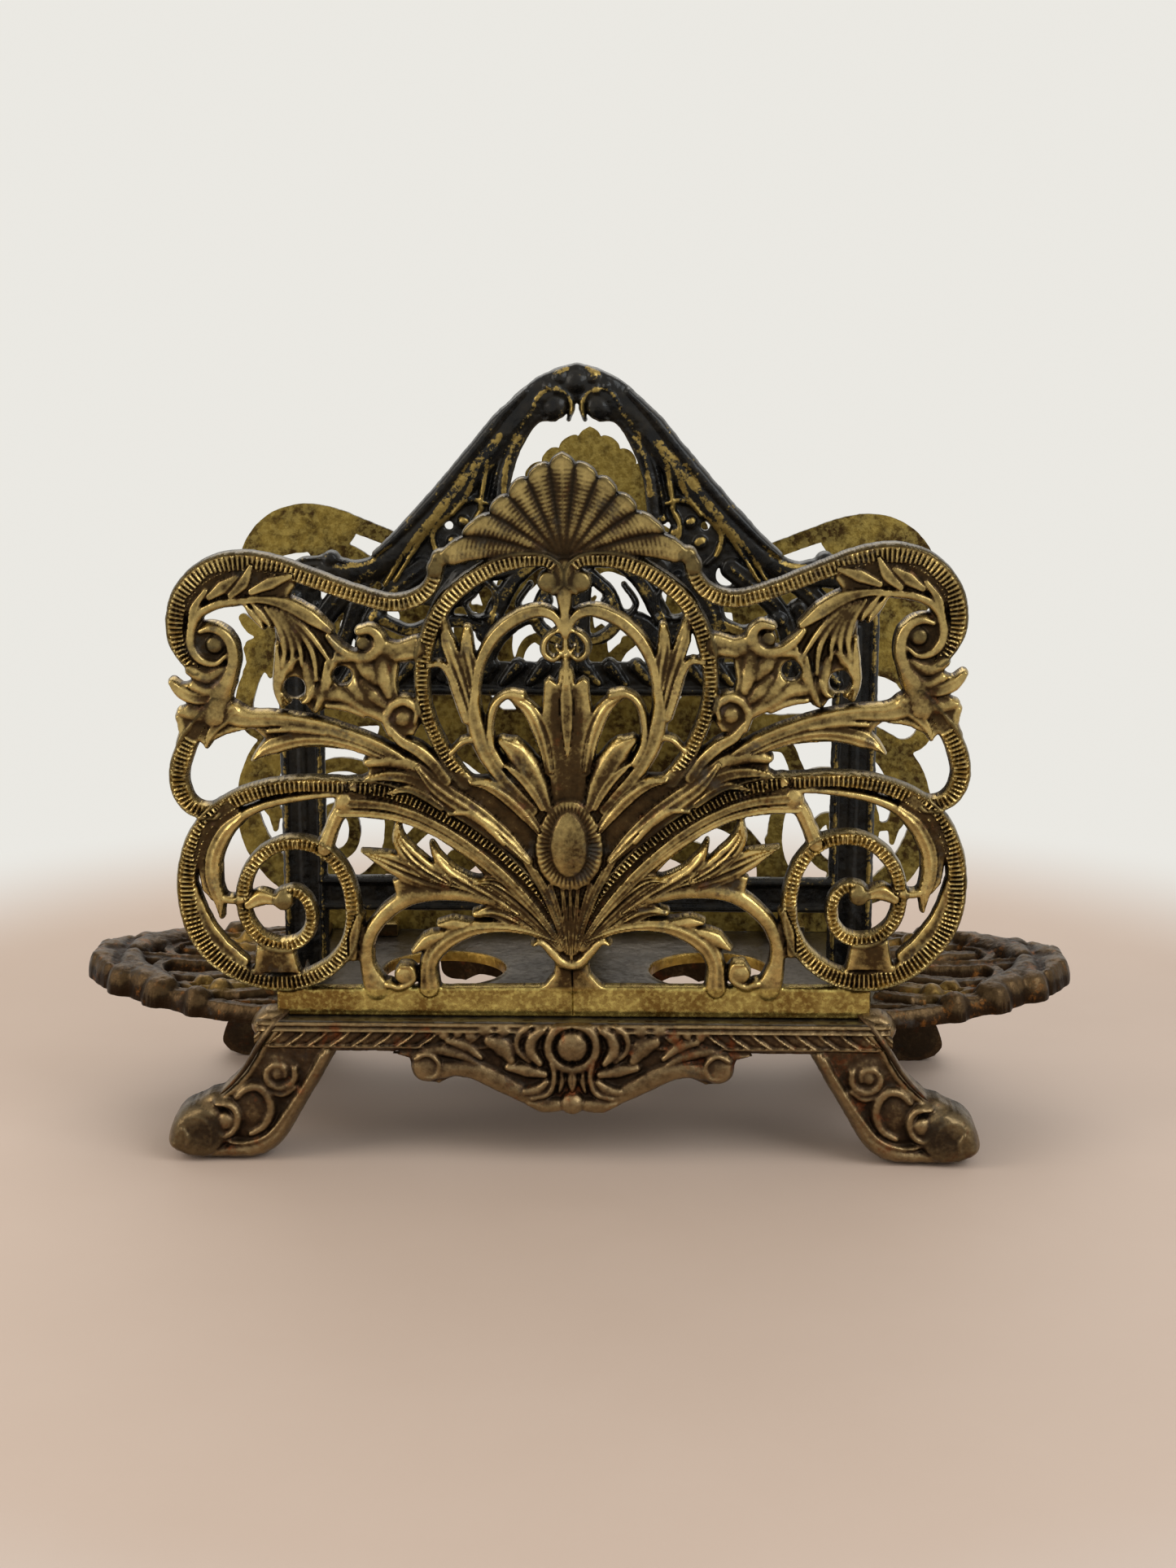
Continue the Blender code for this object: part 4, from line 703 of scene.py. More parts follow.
def side_acanthus(r):
    """The branch under the upper lobe, its curl and the fluted leaf that hangs from it."""
    r.polygon([(-87, 124.4), (-80.9, 115.6), (-80.8, 108), (-82, 102), (-81.8, 97), (-80.4, 93.2),
               (-78.4, 93.4), (-77.8, 95.6), (-74, 94.8), (-71.4, 91), (-68.4, 92), (-67, 98),
               (-66.4, 104), (-64, 108), (-60, 109.6), (-64.4, 113.6), (-72, 120), (-80, 124)], 1.1)
    r.stem([(-96, 123), (-90, 123.6), (-84, 124), (-77.6, 122.6), (-71.4, 119.2), (-65.4, 115)],
           (2.6, 2.8, 3.2, 5.0, 5.4, 2.6), 3.1, grooves=1)
    r.stem([(-66, 113.4), (-63.6, 110.4), (-60.2, 108), (-56, 107.2), (-52.7, 109), (-51.7, 112.4),
            (-54, 115), (-57.4, 114.6)], (2.0, 2.8, 3.4, 4.0, 4.2, 4.0, 3.6, 2.8), 3.1)
    r.ball(-56.2, 111.2, 2.4, 0.5, base=1.6, tone=0.6)
    r.stem([(-52.4, 110), (-47, 108.6), (-41.4, 109.6)], (6.0, 6.0, 7.0), 2.4)
    fingers = (
        ([(-88.8, 122.6), (-86, 119), (-83.8, 115.8)], 2.6),
        ([(-86.6, 122.8), (-83.8, 119.2), (-81.8, 116.2)], 2.6),
        ([(-83, 121.8), (-79.4, 116), (-78.2, 110), (-79, 105)], 2.4),
        ([(-81.4, 121.4), (-77.4, 115.6), (-76, 110), (-76.6, 105.4)], 2.3),
        ([(-80, 121), (-75.6, 115), (-73.8, 109.6), (-73.6, 105.4)], 2.3),
        ([(-78.4, 120.6), (-73.4, 114.4), (-70.4, 108.6), (-69.6, 101)], 2.3),
        ([(-76.8, 119.8), (-71.8, 115.2), (-68.2, 110.2), (-65.4, 105.6)], 2.2),
        ([(-80.4, 111), (-80.6, 104), (-81, 98), (-79.8, 93.6)], 2.6),
        ([(-66.8, 106), (-67.6, 99), (-70.4, 92)], 3.4),
        ([(-64, 108.6), (-65.2, 103.6), (-66.6, 98.6)], 2.2),
        ([(-78.6, 103.4), (-79.2, 98.6), (-77.8, 94.6)], 1.8),
        ([(-74, 94.6), (-72.2, 95.6), (-70.6, 99.4)], 2.2)
    )
    for line, wide in fingers:
        r.stem(line, (1.4, wide, wide, 1.4), 2.9)
    r.stem([(-79.4, 102.6), (-77.4, 105), (-74.8, 107.2)], (2.4, 4.0, 1.4), 2.6)
    r.stem([(-72.8, 105), (-71.6, 100.6), (-72.2, 96.4)], (3.0, 4.4, 2.4), 2.3)
    r.hole(-76.3, 98.6, 3.0)


def side_pods(r):
    """The fat pods between the hanging leaf and the horseshoe."""
    r.polygon([(-66.6, 107), (-60, 108.6), (-50, 108.6), (-41.4, 107.4), (-42.6, 105.8), (-46.4, 105.4),
               (-47.2, 100), (-46.8, 96.4), (-42, 95.8), (-41, 92), (-50, 91), (-54, 89.6), (-57, 91.4),
               (-60.6, 94), (-66, 94.6), (-70, 92), (-71.6, 97), (-67, 100)], 1.4)
    pods = (
        ([(-71, 97.4), (-66.6, 96.8), (-62, 96), (-57.4, 93), (-52, 90.4)], (4.4, 4.6, 4.4, 4.0, 4.2)),
        ([(-60.4, 100.6), (-58.4, 97), (-54.6, 93.4)], (3.6, 5.0, 3.0)),
        ([(-56.6, 99.6), (-54.4, 96.6), (-51, 93.4)], (3.4, 4.8, 3.0)),
        ([(-57.4, 106.6), (-55.2, 103.2), (-53.2, 100.4)], (4.6, 5.4, 3.4)),
        ([(-66.6, 105), (-63.4, 107), (-59.4, 106.8)], (2.4, 3.0, 2.0)),
        ([(-67, 93.6), (-62, 93), (-57, 90.6)], (2.4, 2.8, 2.0)),
        ([(-47.4, 107), (-44.6, 107.6), (-41.6, 108)], (2.6, 3.2, 2.6)),
        ([(-47, 94.6), (-44, 94), (-41.4, 92)], (2.4, 3.0, 2.6)),
        ([(-51.6, 105.8), (-51.2, 101.6), (-49.8, 96.4)], (4.4, 5.0, 3.2))
    )
    for line, widths in pods:
        r.stem(line, widths, (2.4, 3.1, 2.6))
    r.hole(-62.6, 102, 2.6)


def strip(r):
    """The flat polished foot of the panel, with the pinch in its middle."""
    before = r.fillet
    r.fillet = 0.4
    r.polygon([(-STRIP_HALF, 1.2), (1.6 - STRIP_HALF, 0), (0.2, 0), (0.2, 9.6), (2 - STRIP_HALF, 9.0),
               (-STRIP_HALF, 7.6)], 1.4)
    r.fillet = before
    flat = np.clip((9.6 - r.yy) / 0.8, 0, 1)
    pinch = 0.3 * np.exp(-(r.xx / 1.6) ** 2) * flat
    groove = 0.3 * np.exp(-((r.yy - 1.1) / 0.35) ** 2) * (r.yy < 3)
    r.high -= pinch + groove
    r.tint = np.maximum(r.tint, flat)


PANEL_PARTS = (strip, side_acanthus, upper_lobe, volute, lower_lobe, great_scroll, branch, side_pods,
               inner_arch, middle, fan, low_acanthus, horseshoe, shell, oval)


def panel_relief():
    half = Relief(-114.0, 0.0, -1.0, 164.6)
    for draw in PANEL_PARTS:
        draw(half)
    half.soften(0.8)
    whole = half.mirrored()
    whole.roughen(11, outline=0.10, face=0.07)
    whole.edge = np.maximum(whole.edge, -whole.yy)
    return whole


def panel(name, turned, materials):
    """One openwork panel, leaning out from its foot as the frame's panel does."""
    low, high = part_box(name)
    foot = low.z / MM
    reach = (high.y if turned else -low.y) / MM - PANEL_SHY
    inner = (low.y if turned else -high.y) / MM + LUG_DEPTH - LUG_INSET
    skin = cast(panel_relief(), PANEL_CORE, PANEL_WALL)

    def place(p):
        share = np.clip(p[:, 1] / (2 * STRIP_HEIGHT), 0, 1)
        turn_x = p[:, 0] * math.cos(PANEL_SKEW) - p[:, 1] * math.sin(PANEL_SKEW)
        turn_y = p[:, 0] * math.sin(PANEL_SKEW) + p[:, 1] * math.cos(PANEL_SKEW)
        x = p[:, 0] + (turn_x - p[:, 0]) * share
        up = p[:, 1] + (turn_y - p[:, 1]) * share
        room = reach - inner - up * math.sin(PANEL_LEAN)
        knee = KNEE * room
        proud = np.maximum(p[:, 2] - knee, 0) / (room - knee)
        thick = np.minimum(p[:, 2], knee) + (room - knee) * (1 - np.exp(-proud))
        out = up * math.sin(PANEL_LEAN) + thick * math.cos(PANEL_LEAN)
        z = up * math.cos(PANEL_LEAN) - p[:, 2] * math.sin(PANEL_LEAN)
        side = -1 if turned else 1
        return np.column_stack([x * side, -(inner + out) * side, z + foot])

    return skin.mesh(name + "_cast", materials, place)


# ----------------------------------------------------- ornament of the handle frame, on its left
# x is across the frame from its middle and y is the height above the feet.
POST_X = 83.5
POST_HALF = 6.75
GADROONS = 10
GADROON_PITCH = 8.0


def grip(r):
    """The rounded rail over the top, the crown and the two balls under it."""
    r.stem([(0, 221.6), (-7, 220.6), (-13, 216.6), (-20, 209.4), (-27, 201), (-35, 191.8), (-43, 183),
            (-51, 175), (-58, 169.4), (-66, 166.4), (-75, 166)], (10.5, 10, 8.5, 7.5, 6.5, 6.5, 7.5), 2.9)
    r.stem([(-15, 220), (-22.4, 212.4), (-29.6, 203.6), (-37.6, 194.2), (-45.6, 185.4), (-53.6, 177.4),
            (-60, 172)], (2.0, 4.2, 4.4, 4.2, 3.6, 2.4), 3.6)
    r.stem([(-10.6, 219), (-5.6, 223.0), (0, 224.5)], (3.0, 6.8, 7.5), 2.7)
    r.ball(0, 222.8, 3.5, 2.6, base=1.8)
    for x, y, radius in ((-4.8, 224.0, 2.3), (-5.8, 220.6, 1.9), (-8.6, 221.4, 1.5)):
        r.ball(x, y, radius, 1.8, base=1.8)
    r.stem([(-13, 215.6), (-10.4, 219.6), (-6, 221), (-2.6, 219), (-1.4, 215.4), (-2.4, 211.8)],
           (1.4, 2.0, 2.0, 2.0, 2.0, 1.6), 3.3)
    r.ball(-6.3, 215.5, 3.9, 2.6, base=0.8)
    r.stem([(-6.8, 212.2), (-10.6, 211.8)], (2.4, 1.2), 1.6)
    worn = (
        [(-13, 214.6), (-10.8, 219), (-6, 220.8), (-2.4, 218.6), (-1.4, 214)],
        [(-6.4, 225.4), (-3, 226.6)],
        [(-12.6, 215), (-17.4, 208.4), (-20.4, 200), (-21.6, 190)],
        [(-17, 207), (-26, 197), (-34, 187.4), (-42, 178.6), (-50, 171)],
        [(-55, 174.4), (-62, 169.6), (-72, 168.6)]
    )
    for line in worn:
        r.gild(line, 1.6, 0.85)


def web(r):
    """The pierced web between the rail and the inner rail, with thin gilded ribs."""
    r.ground([(-19, 208), (-27, 196), (-33, 184), (-38, 174), (-44, 164)], (4, 8, 12, 14, 15), 0.3)
    r.ground([(-20, 180), (-27, 172), (-36, 162)], (4, 12, 12), 0.3)
    r.ground([(-24, 202), (-34, 188), (-45, 177), (-56, 166)], (3, 6, 7, 8), 0.3)
    r.stem([(-9.6, 214.4), (-15.2, 209.4), (-19.2, 202), (-21.6, 194), (-22.8, 185), (-23.4, 172)],
           (3.4, 4.6, 4.4, 4.2, 4.4, 4.6), 2.3)
    r.stem([(-13.2, 213), (-18.4, 206.4), (-22.6, 199), (-24.9, 190), (-25.8, 182)],
           (1.2, 1.5, 1.4, 1.3, 1.2), 2.2)
    ribs = ([(-22.5, 207), (-26.2, 199.6), (-27.6, 192), (-28.6, 186)],
            [(-24.6, 205.4), (-29.4, 197.4), (-32, 190.4), (-36.8, 184)],
            [(-27.6, 202.6), (-34, 193), (-42, 182.6), (-48.6, 173), (-54, 164.6)],
            [(-31.6, 198.4), (-38.6, 188.6), (-46.2, 179), (-52.4, 170.6), (-57.4, 163)])
    for line in ribs:
        r.stem(line, (1.2, 2.2, 2.2, 1.2), 2.4)
        r.gild(line, 2.0, 1.1)
    r.stem([(-26.6, 187.4), (-31, 188.4), (-36, 186.6), (-40.6, 187.4)], (1.6, 2.2, 2.2, 1.2), 2.0)
    for x, y, radius in ((-29.4, 178.6, 2.2), (-33.6, 181.8, 1.8), (-25.4, 182.6, 1.6),
                         (-36.6, 175.8, 2.0)):
        r.ball(x, y, radius, 1.2, base=0.6)
        r.gild([(x - 1, y + 1), (x + 1, y)], 1.6, 0.9)
    r.hole(-38, 180.6, 1.3)
    r.hole(-44.6, 166.0, 3.3, lip=0.5)
    r.stem([(-28, 186), (-30.4, 181), (-29.8, 175), (-33.6, 170)], (1.4, 1.8, 1.8, 1.2), 2.0)
    r.stem([(-37.4, 184), (-42.6, 178.6), (-41.6, 172.6), (-38.6, 169.4)], (1.4, 1.8, 1.8, 1.4), 2.0)
    gilded = (
        [(-28, 186), (-30.4, 181), (-29.8, 175), (-33.6, 170)],
        [(-37.4, 184), (-42.6, 178.6), (-41.6, 172.6)],
        [(-26.6, 187.4), (-31, 188.4), (-36, 186.6)],
        [(-20, 180), (-27, 172), (-36, 162)]
    )
    for line in gilded:
        r.gild(line, 2.0, 0.9)


def lower_tracery(r):
    """Scrolls between the web and the cross band, and the wings out to the posts."""
    strands = (
        ([(0, 170), (-12, 170), (-24, 168)], (4, 4.5, 8)),
        ([(0, 167), (0, 140)], (9, 7)),
        ([(-4, 166), (-10, 160), (-12, 152), (-7, 147), (0, 146)], (4, 4, 4, 4, 3)),
        ([(-12, 154), (-20, 151), (-26, 144), (-28, 136)], (4, 6, 6, 6)),
        ([(-12, 170), (-19, 164), (-24, 156), (-28, 148)], (4, 5, 6, 5)),
        ([(-34, 164), (-40, 156), (-42, 146), (-40, 136)], (8, 7, 6, 6)),
        ([(-28, 150), (-36, 152), (-44, 150)], (4, 4, 4)),
        ([(-46, 168), (-56, 160), (-62, 152), (-64, 142), (-62, 134)], (7, 7, 6, 6, 6)),
        ([(-42, 152), (-50, 149), (-58, 152)], (4, 4, 4)),
        ([(-60, 168), (-70, 160), (-78, 150)], (7, 7, 7)),
        ([(-66, 156), (-70, 146), (-74, 138)], (6, 5, 6)),
        ([(-76, 166), (-83, 163.4), (-85, 158)], (7, 9, 12))
    )
    for line, widths in strands:
        r.stem(line, widths, 1.9, grooves=1 if max(widths) < 7 else 2)
        r.gild(line, 2.2, 0.6)
    r.leaf([(-88, 166), (-82, 168.4), (-74, 169), (-66, 168.6)], (3, 5, 5, 2.2), 2.2, veins=1)
    r.leaf([(-62, 164), (-68, 167), (-76, 171)], (3.4, 5.4, 1.4), 2.4, veins=1)
    for x, y, radius in ((-73.4, 170.6, 2.6), (-84.6, 158.6, 2.8), (-60.4, 153, 2.4), (-25, 153, 2.2),
                         (-9, 158, 2.0)):
        r.ball(x, y, radius, 2.0, base=1.0)
    r.stem([(-30, 166), (-24.4, 161), (-25.4, 154.4), (-31, 153.4), (-33.4, 157.4), (-30.6, 160)],
           (2.2, 2.2, 2.0, 1.8, 1.6, 1.4), 2.7)
    r.stem([(-14, 163), (-17.6, 157), (-13, 152.6), (-9.4, 155.4)], (2.0, 2.0, 1.8, 1.4), 2.6)


def cross_band(r):
    """The band across the posts, gadrooned along its upper edge, and the rail near the foot."""
    r.ground([(-77, 134.5), (-50, 134.5), (-25, 134.5), (0, 134.5)], (10, 10, 10, 10), 0.4)
    r.stem([(-78, 130.8), (0, 130.8)], (2.4, 2.4), 1.9)
    for i in range(GADROONS):
        x = -4.0 - i * GADROON_PITCH
        line = [(x - 2.4, 133.4), (x + 2.2, 138.6)]
        r.stem(line, (2.4, 4.6), 2.0)
        r.gild(line, 1.6, 0.5)
    r.ground([(-77, 67.5), (0, 67.5)], (10.5, 10.5), 0.4)
    for y in (63.4, 71.6):
        r.stem([(-78, y), (0, y)], (2.2, 2.2), 1.8)


def posts(r):
    """The two posts, each with a thin raised border."""
    r.polygon([(-POST_X - POST_HALF, FRAME_FOOT), (POST_HALF - POST_X, FRAME_FOOT),
               (POST_HALF - POST_X, 162), (-POST_X - POST_HALF, 162)], 0.4)
    for side in (-1, 1):
        x = -POST_X + side * (POST_HALF - 1.5)
        r.stem([(x, 44.5), (x, 157)], (1.5, 1.5), 1.5)
        r.gild([(x, 44.5), (x, 100), (x, 157)], 1.8, 0.55)
    r.stem([(-POST_X, 48), (-POST_X, 150)], (3.0, 3.0), 1.0)


def frame_relief():
    half = Relief(-93.0, 0.0, 42.0, 230.6, fillet=0.8)
    for draw in (grip, web, lower_tracery, cross_band, posts):
        draw(half)
    half.soften(0.7)
    whole = half.mirrored()
    whole.roughen(31, outline=0.12, face=0.12)
    whole.edge = np.maximum(whole.edge, FRAME_FOOT - whole.yy)
    return whole


def handle_frame(materials):
    """The lacquered frame, the same on both faces."""
    skin = cast(frame_relief(), FRAME_CORE, FRAME_WALL, two_faced=True, back_slot=0)

    def place(p):
        return np.column_stack([p[:, 0], -p[:, 2], p[:, 1]])

    return skin.mesh("handle_frame_cast", materials, place)


# -------------------------------------------------------------------------------- base casting
TRAY_TOP = 43.0
TRAY_HALF_LENGTH = 92.0
TRAY_HALF_DEPTH = 52.0
WELL_RADIUS = 18.5
WELL_X = 41.0
ROPE_PITCH = 6.4
ROPE_TURNS = 13
SPIRAL_POINTS = 14
EAR_BACK = 44.0
EAR_CORE = 4.0
EAR_WALL = 2.4
LUG_HALF_WIDTH = 6.5
LUG_PLATE = 4.0
LUG_HOLE = 2.05
LUG_HOLE_SHIFT = 0.8    # how far a lug's hole lies from its middle, towards the panel
CURL_START = 96.0       # where a leaf handle starts to curl up, mm from the middle of the tray
CURL_LENGTH = 50.0
CURL_HALF_WIDTH = 60.0
CURL_RISE = 2.6
END_APRON_X = 88.2
BAR_SIDES = 18
BAR_SQUASH = 0.55       # height of a swept bar as a share of its width


def corner_name(label, side, end):
    """The name of a piece at a corner; side is -1 at the front, end is -1 at the left."""
    return f"{label}_{'front' if side < 0 else 'rear'}_{'left' if end < 0 else 'right'}"


def end_name(label, end):
    return label + ("_left" if end < 0 else "_right")


def raised(floor):
    """Lays a casting flat, with its back at height floor."""
    def place(p):
        return np.column_stack([p[:, 0], p[:, 1], p[:, 2] + floor])

    return place


def corner_piece(label, skin, side, end, back, materials):
    """A casting drawn for the right end, stood up at one corner with its back at depth back."""
    def place(p):
        return np.column_stack([end * p[:, 0], side * (back + p[:, 2]), np.maximum(p[:, 1], 0.0)])

    if end * side > 0:
        skin.flip()
    return skin.mesh(corner_name(label, side, end), materials, place)


def spiral(centre, start, turns, radius, inner):
    """Points that wind inwards from radius to inner times radius."""
    share = np.linspace(0, 1, SPIRAL_POINTS)
    angle = math.radians(start) + 2 * math.pi * turns * share
    out = radius * (1 - (1 - inner) * share)
    return np.column_stack([centre[0] + out * np.cos(angle), centre[1] + out * np.sin(angle)])


def tray_relief():
    """The tray seen from above: flat, with two wells, each with a low lip round its rim."""
    a, b, corner = TRAY_HALF_LENGTH, TRAY_HALF_DEPTH, 6.0
    r = Relief(-a - 1, a + 1, -b - 1, b + 1, cell=0.5)
    r.polygon([(a, corner - b), (a, b - corner), (a - corner, b), (corner - a, b), (-a, b - corner),
               (-a, corner - b), (corner - a, -b), (a - corner, -b)], 0.0)
    for side in (-1, 1):
        r.hole(side * WELL_X, 0, WELL_RADIUS, lip=0.35)
        off = np.hypot(r.xx - side * WELL_X, r.yy)
        r.tint = np.maximum(r.tint, np.clip((WELL_RADIUS + 0.7 - off) / 0.5, 0, 1))
    r.high += r.wander(51, 0.10, 5.0) + r.wander(52, 0.05, 1.6)
    return r


def tray(materials):
    skin = cast(tray_relief(), TRAY_THICK, TRAY_THICK - 0.4, edge_round=0.6)
    return skin.mesh("tray_plate", materials, raised(TRAY_TOP - TRAY_THICK))


def mouldings(r):
    """Two fillets along the edge of the tray, the rope between them and the apron's lower edge."""
    r.polygon([(-90, 33.6), (-90, 42.8), (0.2, 42.8), (0.2, 33.6)], 0.2)
    r.stem([(-91, 42.0), (0.2, 42.0)], (1.8, 1.8), 1.7)
    r.stem([(-91, 40.2), (0.2, 40.2)], (1.3, 1.3), 2.1)
    r.stem([(-91, 35.2), (0.2, 35.2)], (1.0, 1.0), 1.6)
    for i in range(ROPE_TURNS):
        x = -16.0 - i * ROPE_PITCH
        r.stem([(x - 2.6, 35.6), (x + 0.4, 37.6), (x + 2.8, 39.6)], (0.7, 1.2, 0.7), 1.9)
        r.stem([(x + 0.6, 36.4), (x + 3.4, 38.0), (x + 5.8, 39.0)], (2.0, 3.2, 1.2), 1.0)


def cartouche(r):
    """The hanging ornament: a boss in a ring, fat C-scrolls, two rolls and three drops."""
    r.polygon([(-52, 33), (-47.4, 31.6), (-45.6, 27), (-42, 24.8), (-38.6, 24), (-34, 26.4), (-29, 25.4),
               (-25, 23.4), (-20, 21), (-15, 19.6), (-12, 17.4), (-9, 15.8), (-3.6, 16.2), (0.2, 15.4),
               (0.2, 42), (-30, 41), (-38, 36)], 0.8)
    strands = (
        ([(-40.6, 28), (-34, 28.8), (-28.6, 28.4), (-22, 25.4), (-15.6, 21.8), (-9.4, 18.4)],
         (5.0, 5.0, 6.0, 6.2, 5.6, 4.6), 2.6),
        ([(-44.4, 33), (-38.6, 34.4), (-32.4, 33), (-27.6, 30.6)], (2.6, 3.6, 3.4, 2.0), 2.3),
        ([(-36, 37.4), (-30.6, 35.6), (-26.4, 32.4)], (2.2, 3.8, 2.0), 2.3),
        ([(-24, 37.4), (-20, 35.4), (-17.6, 31.6)], (3.6, 6.2, 3.0), 2.7),
        ([(-12.4, 42), (-15.6, 39), (-15.8, 34.8), (-12.4, 31.4)], (2.0, 2.4, 2.4, 2.0), 2.4),
        ([(-8.4, 41), (-11.4, 38.4), (-12, 34.6), (-9.4, 31)], (2.6, 4.0, 4.2, 2.6), 3.1),
        ([(-18.6, 29.6), (-13, 28.6), (-8, 27.6)], (2.6, 4.4, 3.0), 2.9),
        ([(-13.6, 22.4), (-10, 22.8), (-7.4, 25.2)], (2.6, 4.2, 2.6), 3.1),
        ([(-5.8, 31), (-5.2, 26.6), (-6.8, 22), (-11.6, 20.4)], (2.4, 2.2, 2.4, 2.0), 3.3),
        ([(0, 29.6), (-0.4, 26), (0, 22.6)], (1.8, 3.0, 1.6), 3.1),
        ([(-3.2, 28.6), (-3, 25.4), (-3.8, 22.4)], (1.4, 2.6, 1.4), 2.8),
        ([(-12.4, 18.8), (-8, 18), (-4.6, 18)], (2.8, 5.4, 4.8), 3.0)
    )
    for line, widths, height in strands:
        r.stem(line, widths, height)
    r.ball(-42.4, 28.8, 4.3, 2.2, base=0.8)
    r.stem([(-45.4, 32), (-41.6, 33.4), (-38.6, 30.8), (-39.4, 27), (-42.4, 26.4)],
           (1.8, 2.0, 2.0, 1.8, 1.4), 3.1)
    ring = [(6.9 * math.cos(math.radians(t)),
             36.0 + 6.9 * math.sin(math.radians(t))) for t in range(90, 271, 20)]
    r.stem(ring, (3.4, 3.4), 3.1)
    r.ball(0.0, 36.0, 4.6, 2.2, base=2.0)
    r.ball(0.0, 18.6, 3.7, 2.8, base=1.0)
    beads = (
        (-37, 39.0, 1.7),
        (-33, 39.4, 1.5),
        (-29.4, 38.6, 1.9),
        (-25.2, 40.6, 2.1),
        (-19.8, 40.4, 2.1)
    )
    for x, y, radius in beads:
        r.ball(x, y, radius, 1.2, base=0.9)


def apron_relief():
    half = Relief(-92.0, 0.0, 13.0, 43.6)
    mouldings(half)
    cartouche(half)
    half.soften(0.7)
    whole = half.mirrored()
    whole.roughen(61, outline=0.10, face=0.12)
    whole.edge = np.maximum(whole.edge, whole.yy - TRAY_TOP)
    return whole


def apron(side, relief, materials):
    """The front (side -1) or rear apron, standing on its plane under the tray's edge."""
    skin = cast(relief, APRON_CORE, APRON_CORE - 0.4, edge_round=1.4, back_slot=0)
    name = "apron_front" if side < 0 else "apron_rear"

    def place(p):
        return np.column_stack([-side * p[:, 0], side * (APRON_BACK + p[:, 2]), p[:, 1]])

    return skin.mesh(name, materials, place)


LEG_OUTLINE = [(69, 42), (88, 42), (90.6, 37), (93, 31.6), (96, 26.8), (99.4, 23.2), (102.6, 20.2),
               (106.4, 19.2), (110.6, 16.8), (113.6, 13.6), (115.2, 11), (117.4, 9.2), (118.2, 4.8),
               (116.4, 1.8), (112, 0.3), (94, 0.2), (90, 1.4), (86.8, 4), (84.4, 7.6), (81, 13.4),
               (77.6, 18.4), (74.6, 23.2), (71.4, 28.2), (69, 32.6)]


def leg_relief():
    """A splayed leg, drawn for the right end: a rolled border, three soft scrolls and a domed toe."""
    r = Relief(67.0, 120.0, -0.6, 42.6)
    r.polygon(LEG_OUTLINE, 0.0)
    r.stem([(70.8, 33), (74.8, 26), (79.2, 18.8), (83.2, 12.4), (87, 6.8), (91.6, 3.6), (98.6, 2.4),
            (108, 2.2)], (3.0, 3.8, 4.2, 4.8, 5.2, 5.0, 4.4, 3.8), 1.8)
    r.stem([(72.8, 32.4), (77, 24.6), (81.2, 17.8), (85.4, 12), (89.4, 7.8), (94, 5.8), (99, 5.6),
            (103, 7.4)], (1.0, 1.2), 2.1)
    r.stem([(84.6, 41), (89.4, 35.4), (93.4, 28.4), (97.8, 23), (102.4, 18.8)], (2.0, 2.6, 2.6, 2.4, 2.0),
           1.5)
    r.ball(85.6, 26.8, 5.4, 0.5, base=0.2)
    r.stem(spiral((85.4, 26.6), 160, 1.1, 5.0, 0.42), (2.2, 2.4, 1.8), 1.7)
    r.ball(85.6, 26.8, 1.9, 1.0, base=0.8)
    r.stem([(80.6, 22.6), (84, 20.4), (88.4, 21)], (1.4, 1.8, 1.2), 1.5)
    r.ball(93.8, 15.8, 5.2, 1.3, base=0.2)
    r.stem([(97.8, 19.4), (94.8, 22.2), (91, 22.4), (88.4, 19), (88.2, 14.4), (90.4, 10.4), (94, 8.4)],
           (1.8, 2.6, 3.0, 3.0, 3.0, 2.6, 1.8), 2.0)
    r.stem([(106.6, 10.2), (110, 8.8), (114, 6.6)], (13.6, 14.0, 8.6), 3.2)
    r.ball(109.6, 9.0, 7.6, 0.5, base=2.7, tone=0.55)
    r.ball(94.6, 12.6, 6.0, 0.6, base=0.2)
    r.stem([(103.6, 18), (99.6, 17.4), (97.4, 13.8), (98.8, 9.6), (101.6, 8), (104, 9.8)],
           (2.0, 2.6, 2.6, 2.4, 2.2, 1.6), 3.2)
    r.ball(101, 12.6, 2.5, 1.2, base=2.2)
    r.stem([(113.4, 8.2), (115.4, 5.8)], (8.4, 6.4), 3.6)
    r.stem([(113.4, 10.4), (112, 7.8), (112.4, 5.2)], (1.2, 1.6, 1.2), 4.4)
    r.stem([(107.4, 13.6), (105.2, 10), (105.6, 5.4)], (1.2, 1.8, 1.2), 3.5)
    r.soften(1.0)
    r.roughen(71, outline=0.12, face=0.14)
    return r


def leg(side, end, relief, materials):
    skin = cast(relief, LEG_CORE, LEG_CORE - 3.6, edge_round=3.0, back_slot=0)
    return corner_piece("leg", skin, side, end, LEG_BACK, materials)


def ear_relief():
    """The small lump that hangs where the leaf handle leaves the corner."""
    r = Relief(82.0, 96.0, 33.0, 46.5)
    r.stem([(84.4, 43.4), (88.6, 42.8), (91.2, 40.4), (90.8, 37.4)], (4.0, 5.2, 5.0, 3.2), 2.6)
    r.ball(89.2, 40.0, 3.4, 2.4, base=0.8)
    r.roughen(81, outline=0.1, face=0.12)
    return r


def ear(side, end, relief, materials):
    skin = cast(relief, EAR_CORE, EAR_WALL, edge_round=2.0, back_slot=0)
    return corner_piece("ear", skin, side, end, EAR_BACK, materials)


# the outline of the right leaf handle on its +y side; the other side is its mirror image
HANDLE_EDGE = [(86, 46.5), (95, 44.8), (104, 42), (111, 39), (115.4, 35.6), (116.8, 32.8), (121.6, 32.4),
               (127.4, 29), (130.6, 25.6), (130.8, 22.2), (135.6, 21.8), (140.4, 18.8), (143.2, 15),
               (143, 11.4), (147.2, 9.8), (150.2, 5.8), (150.6, 2)]


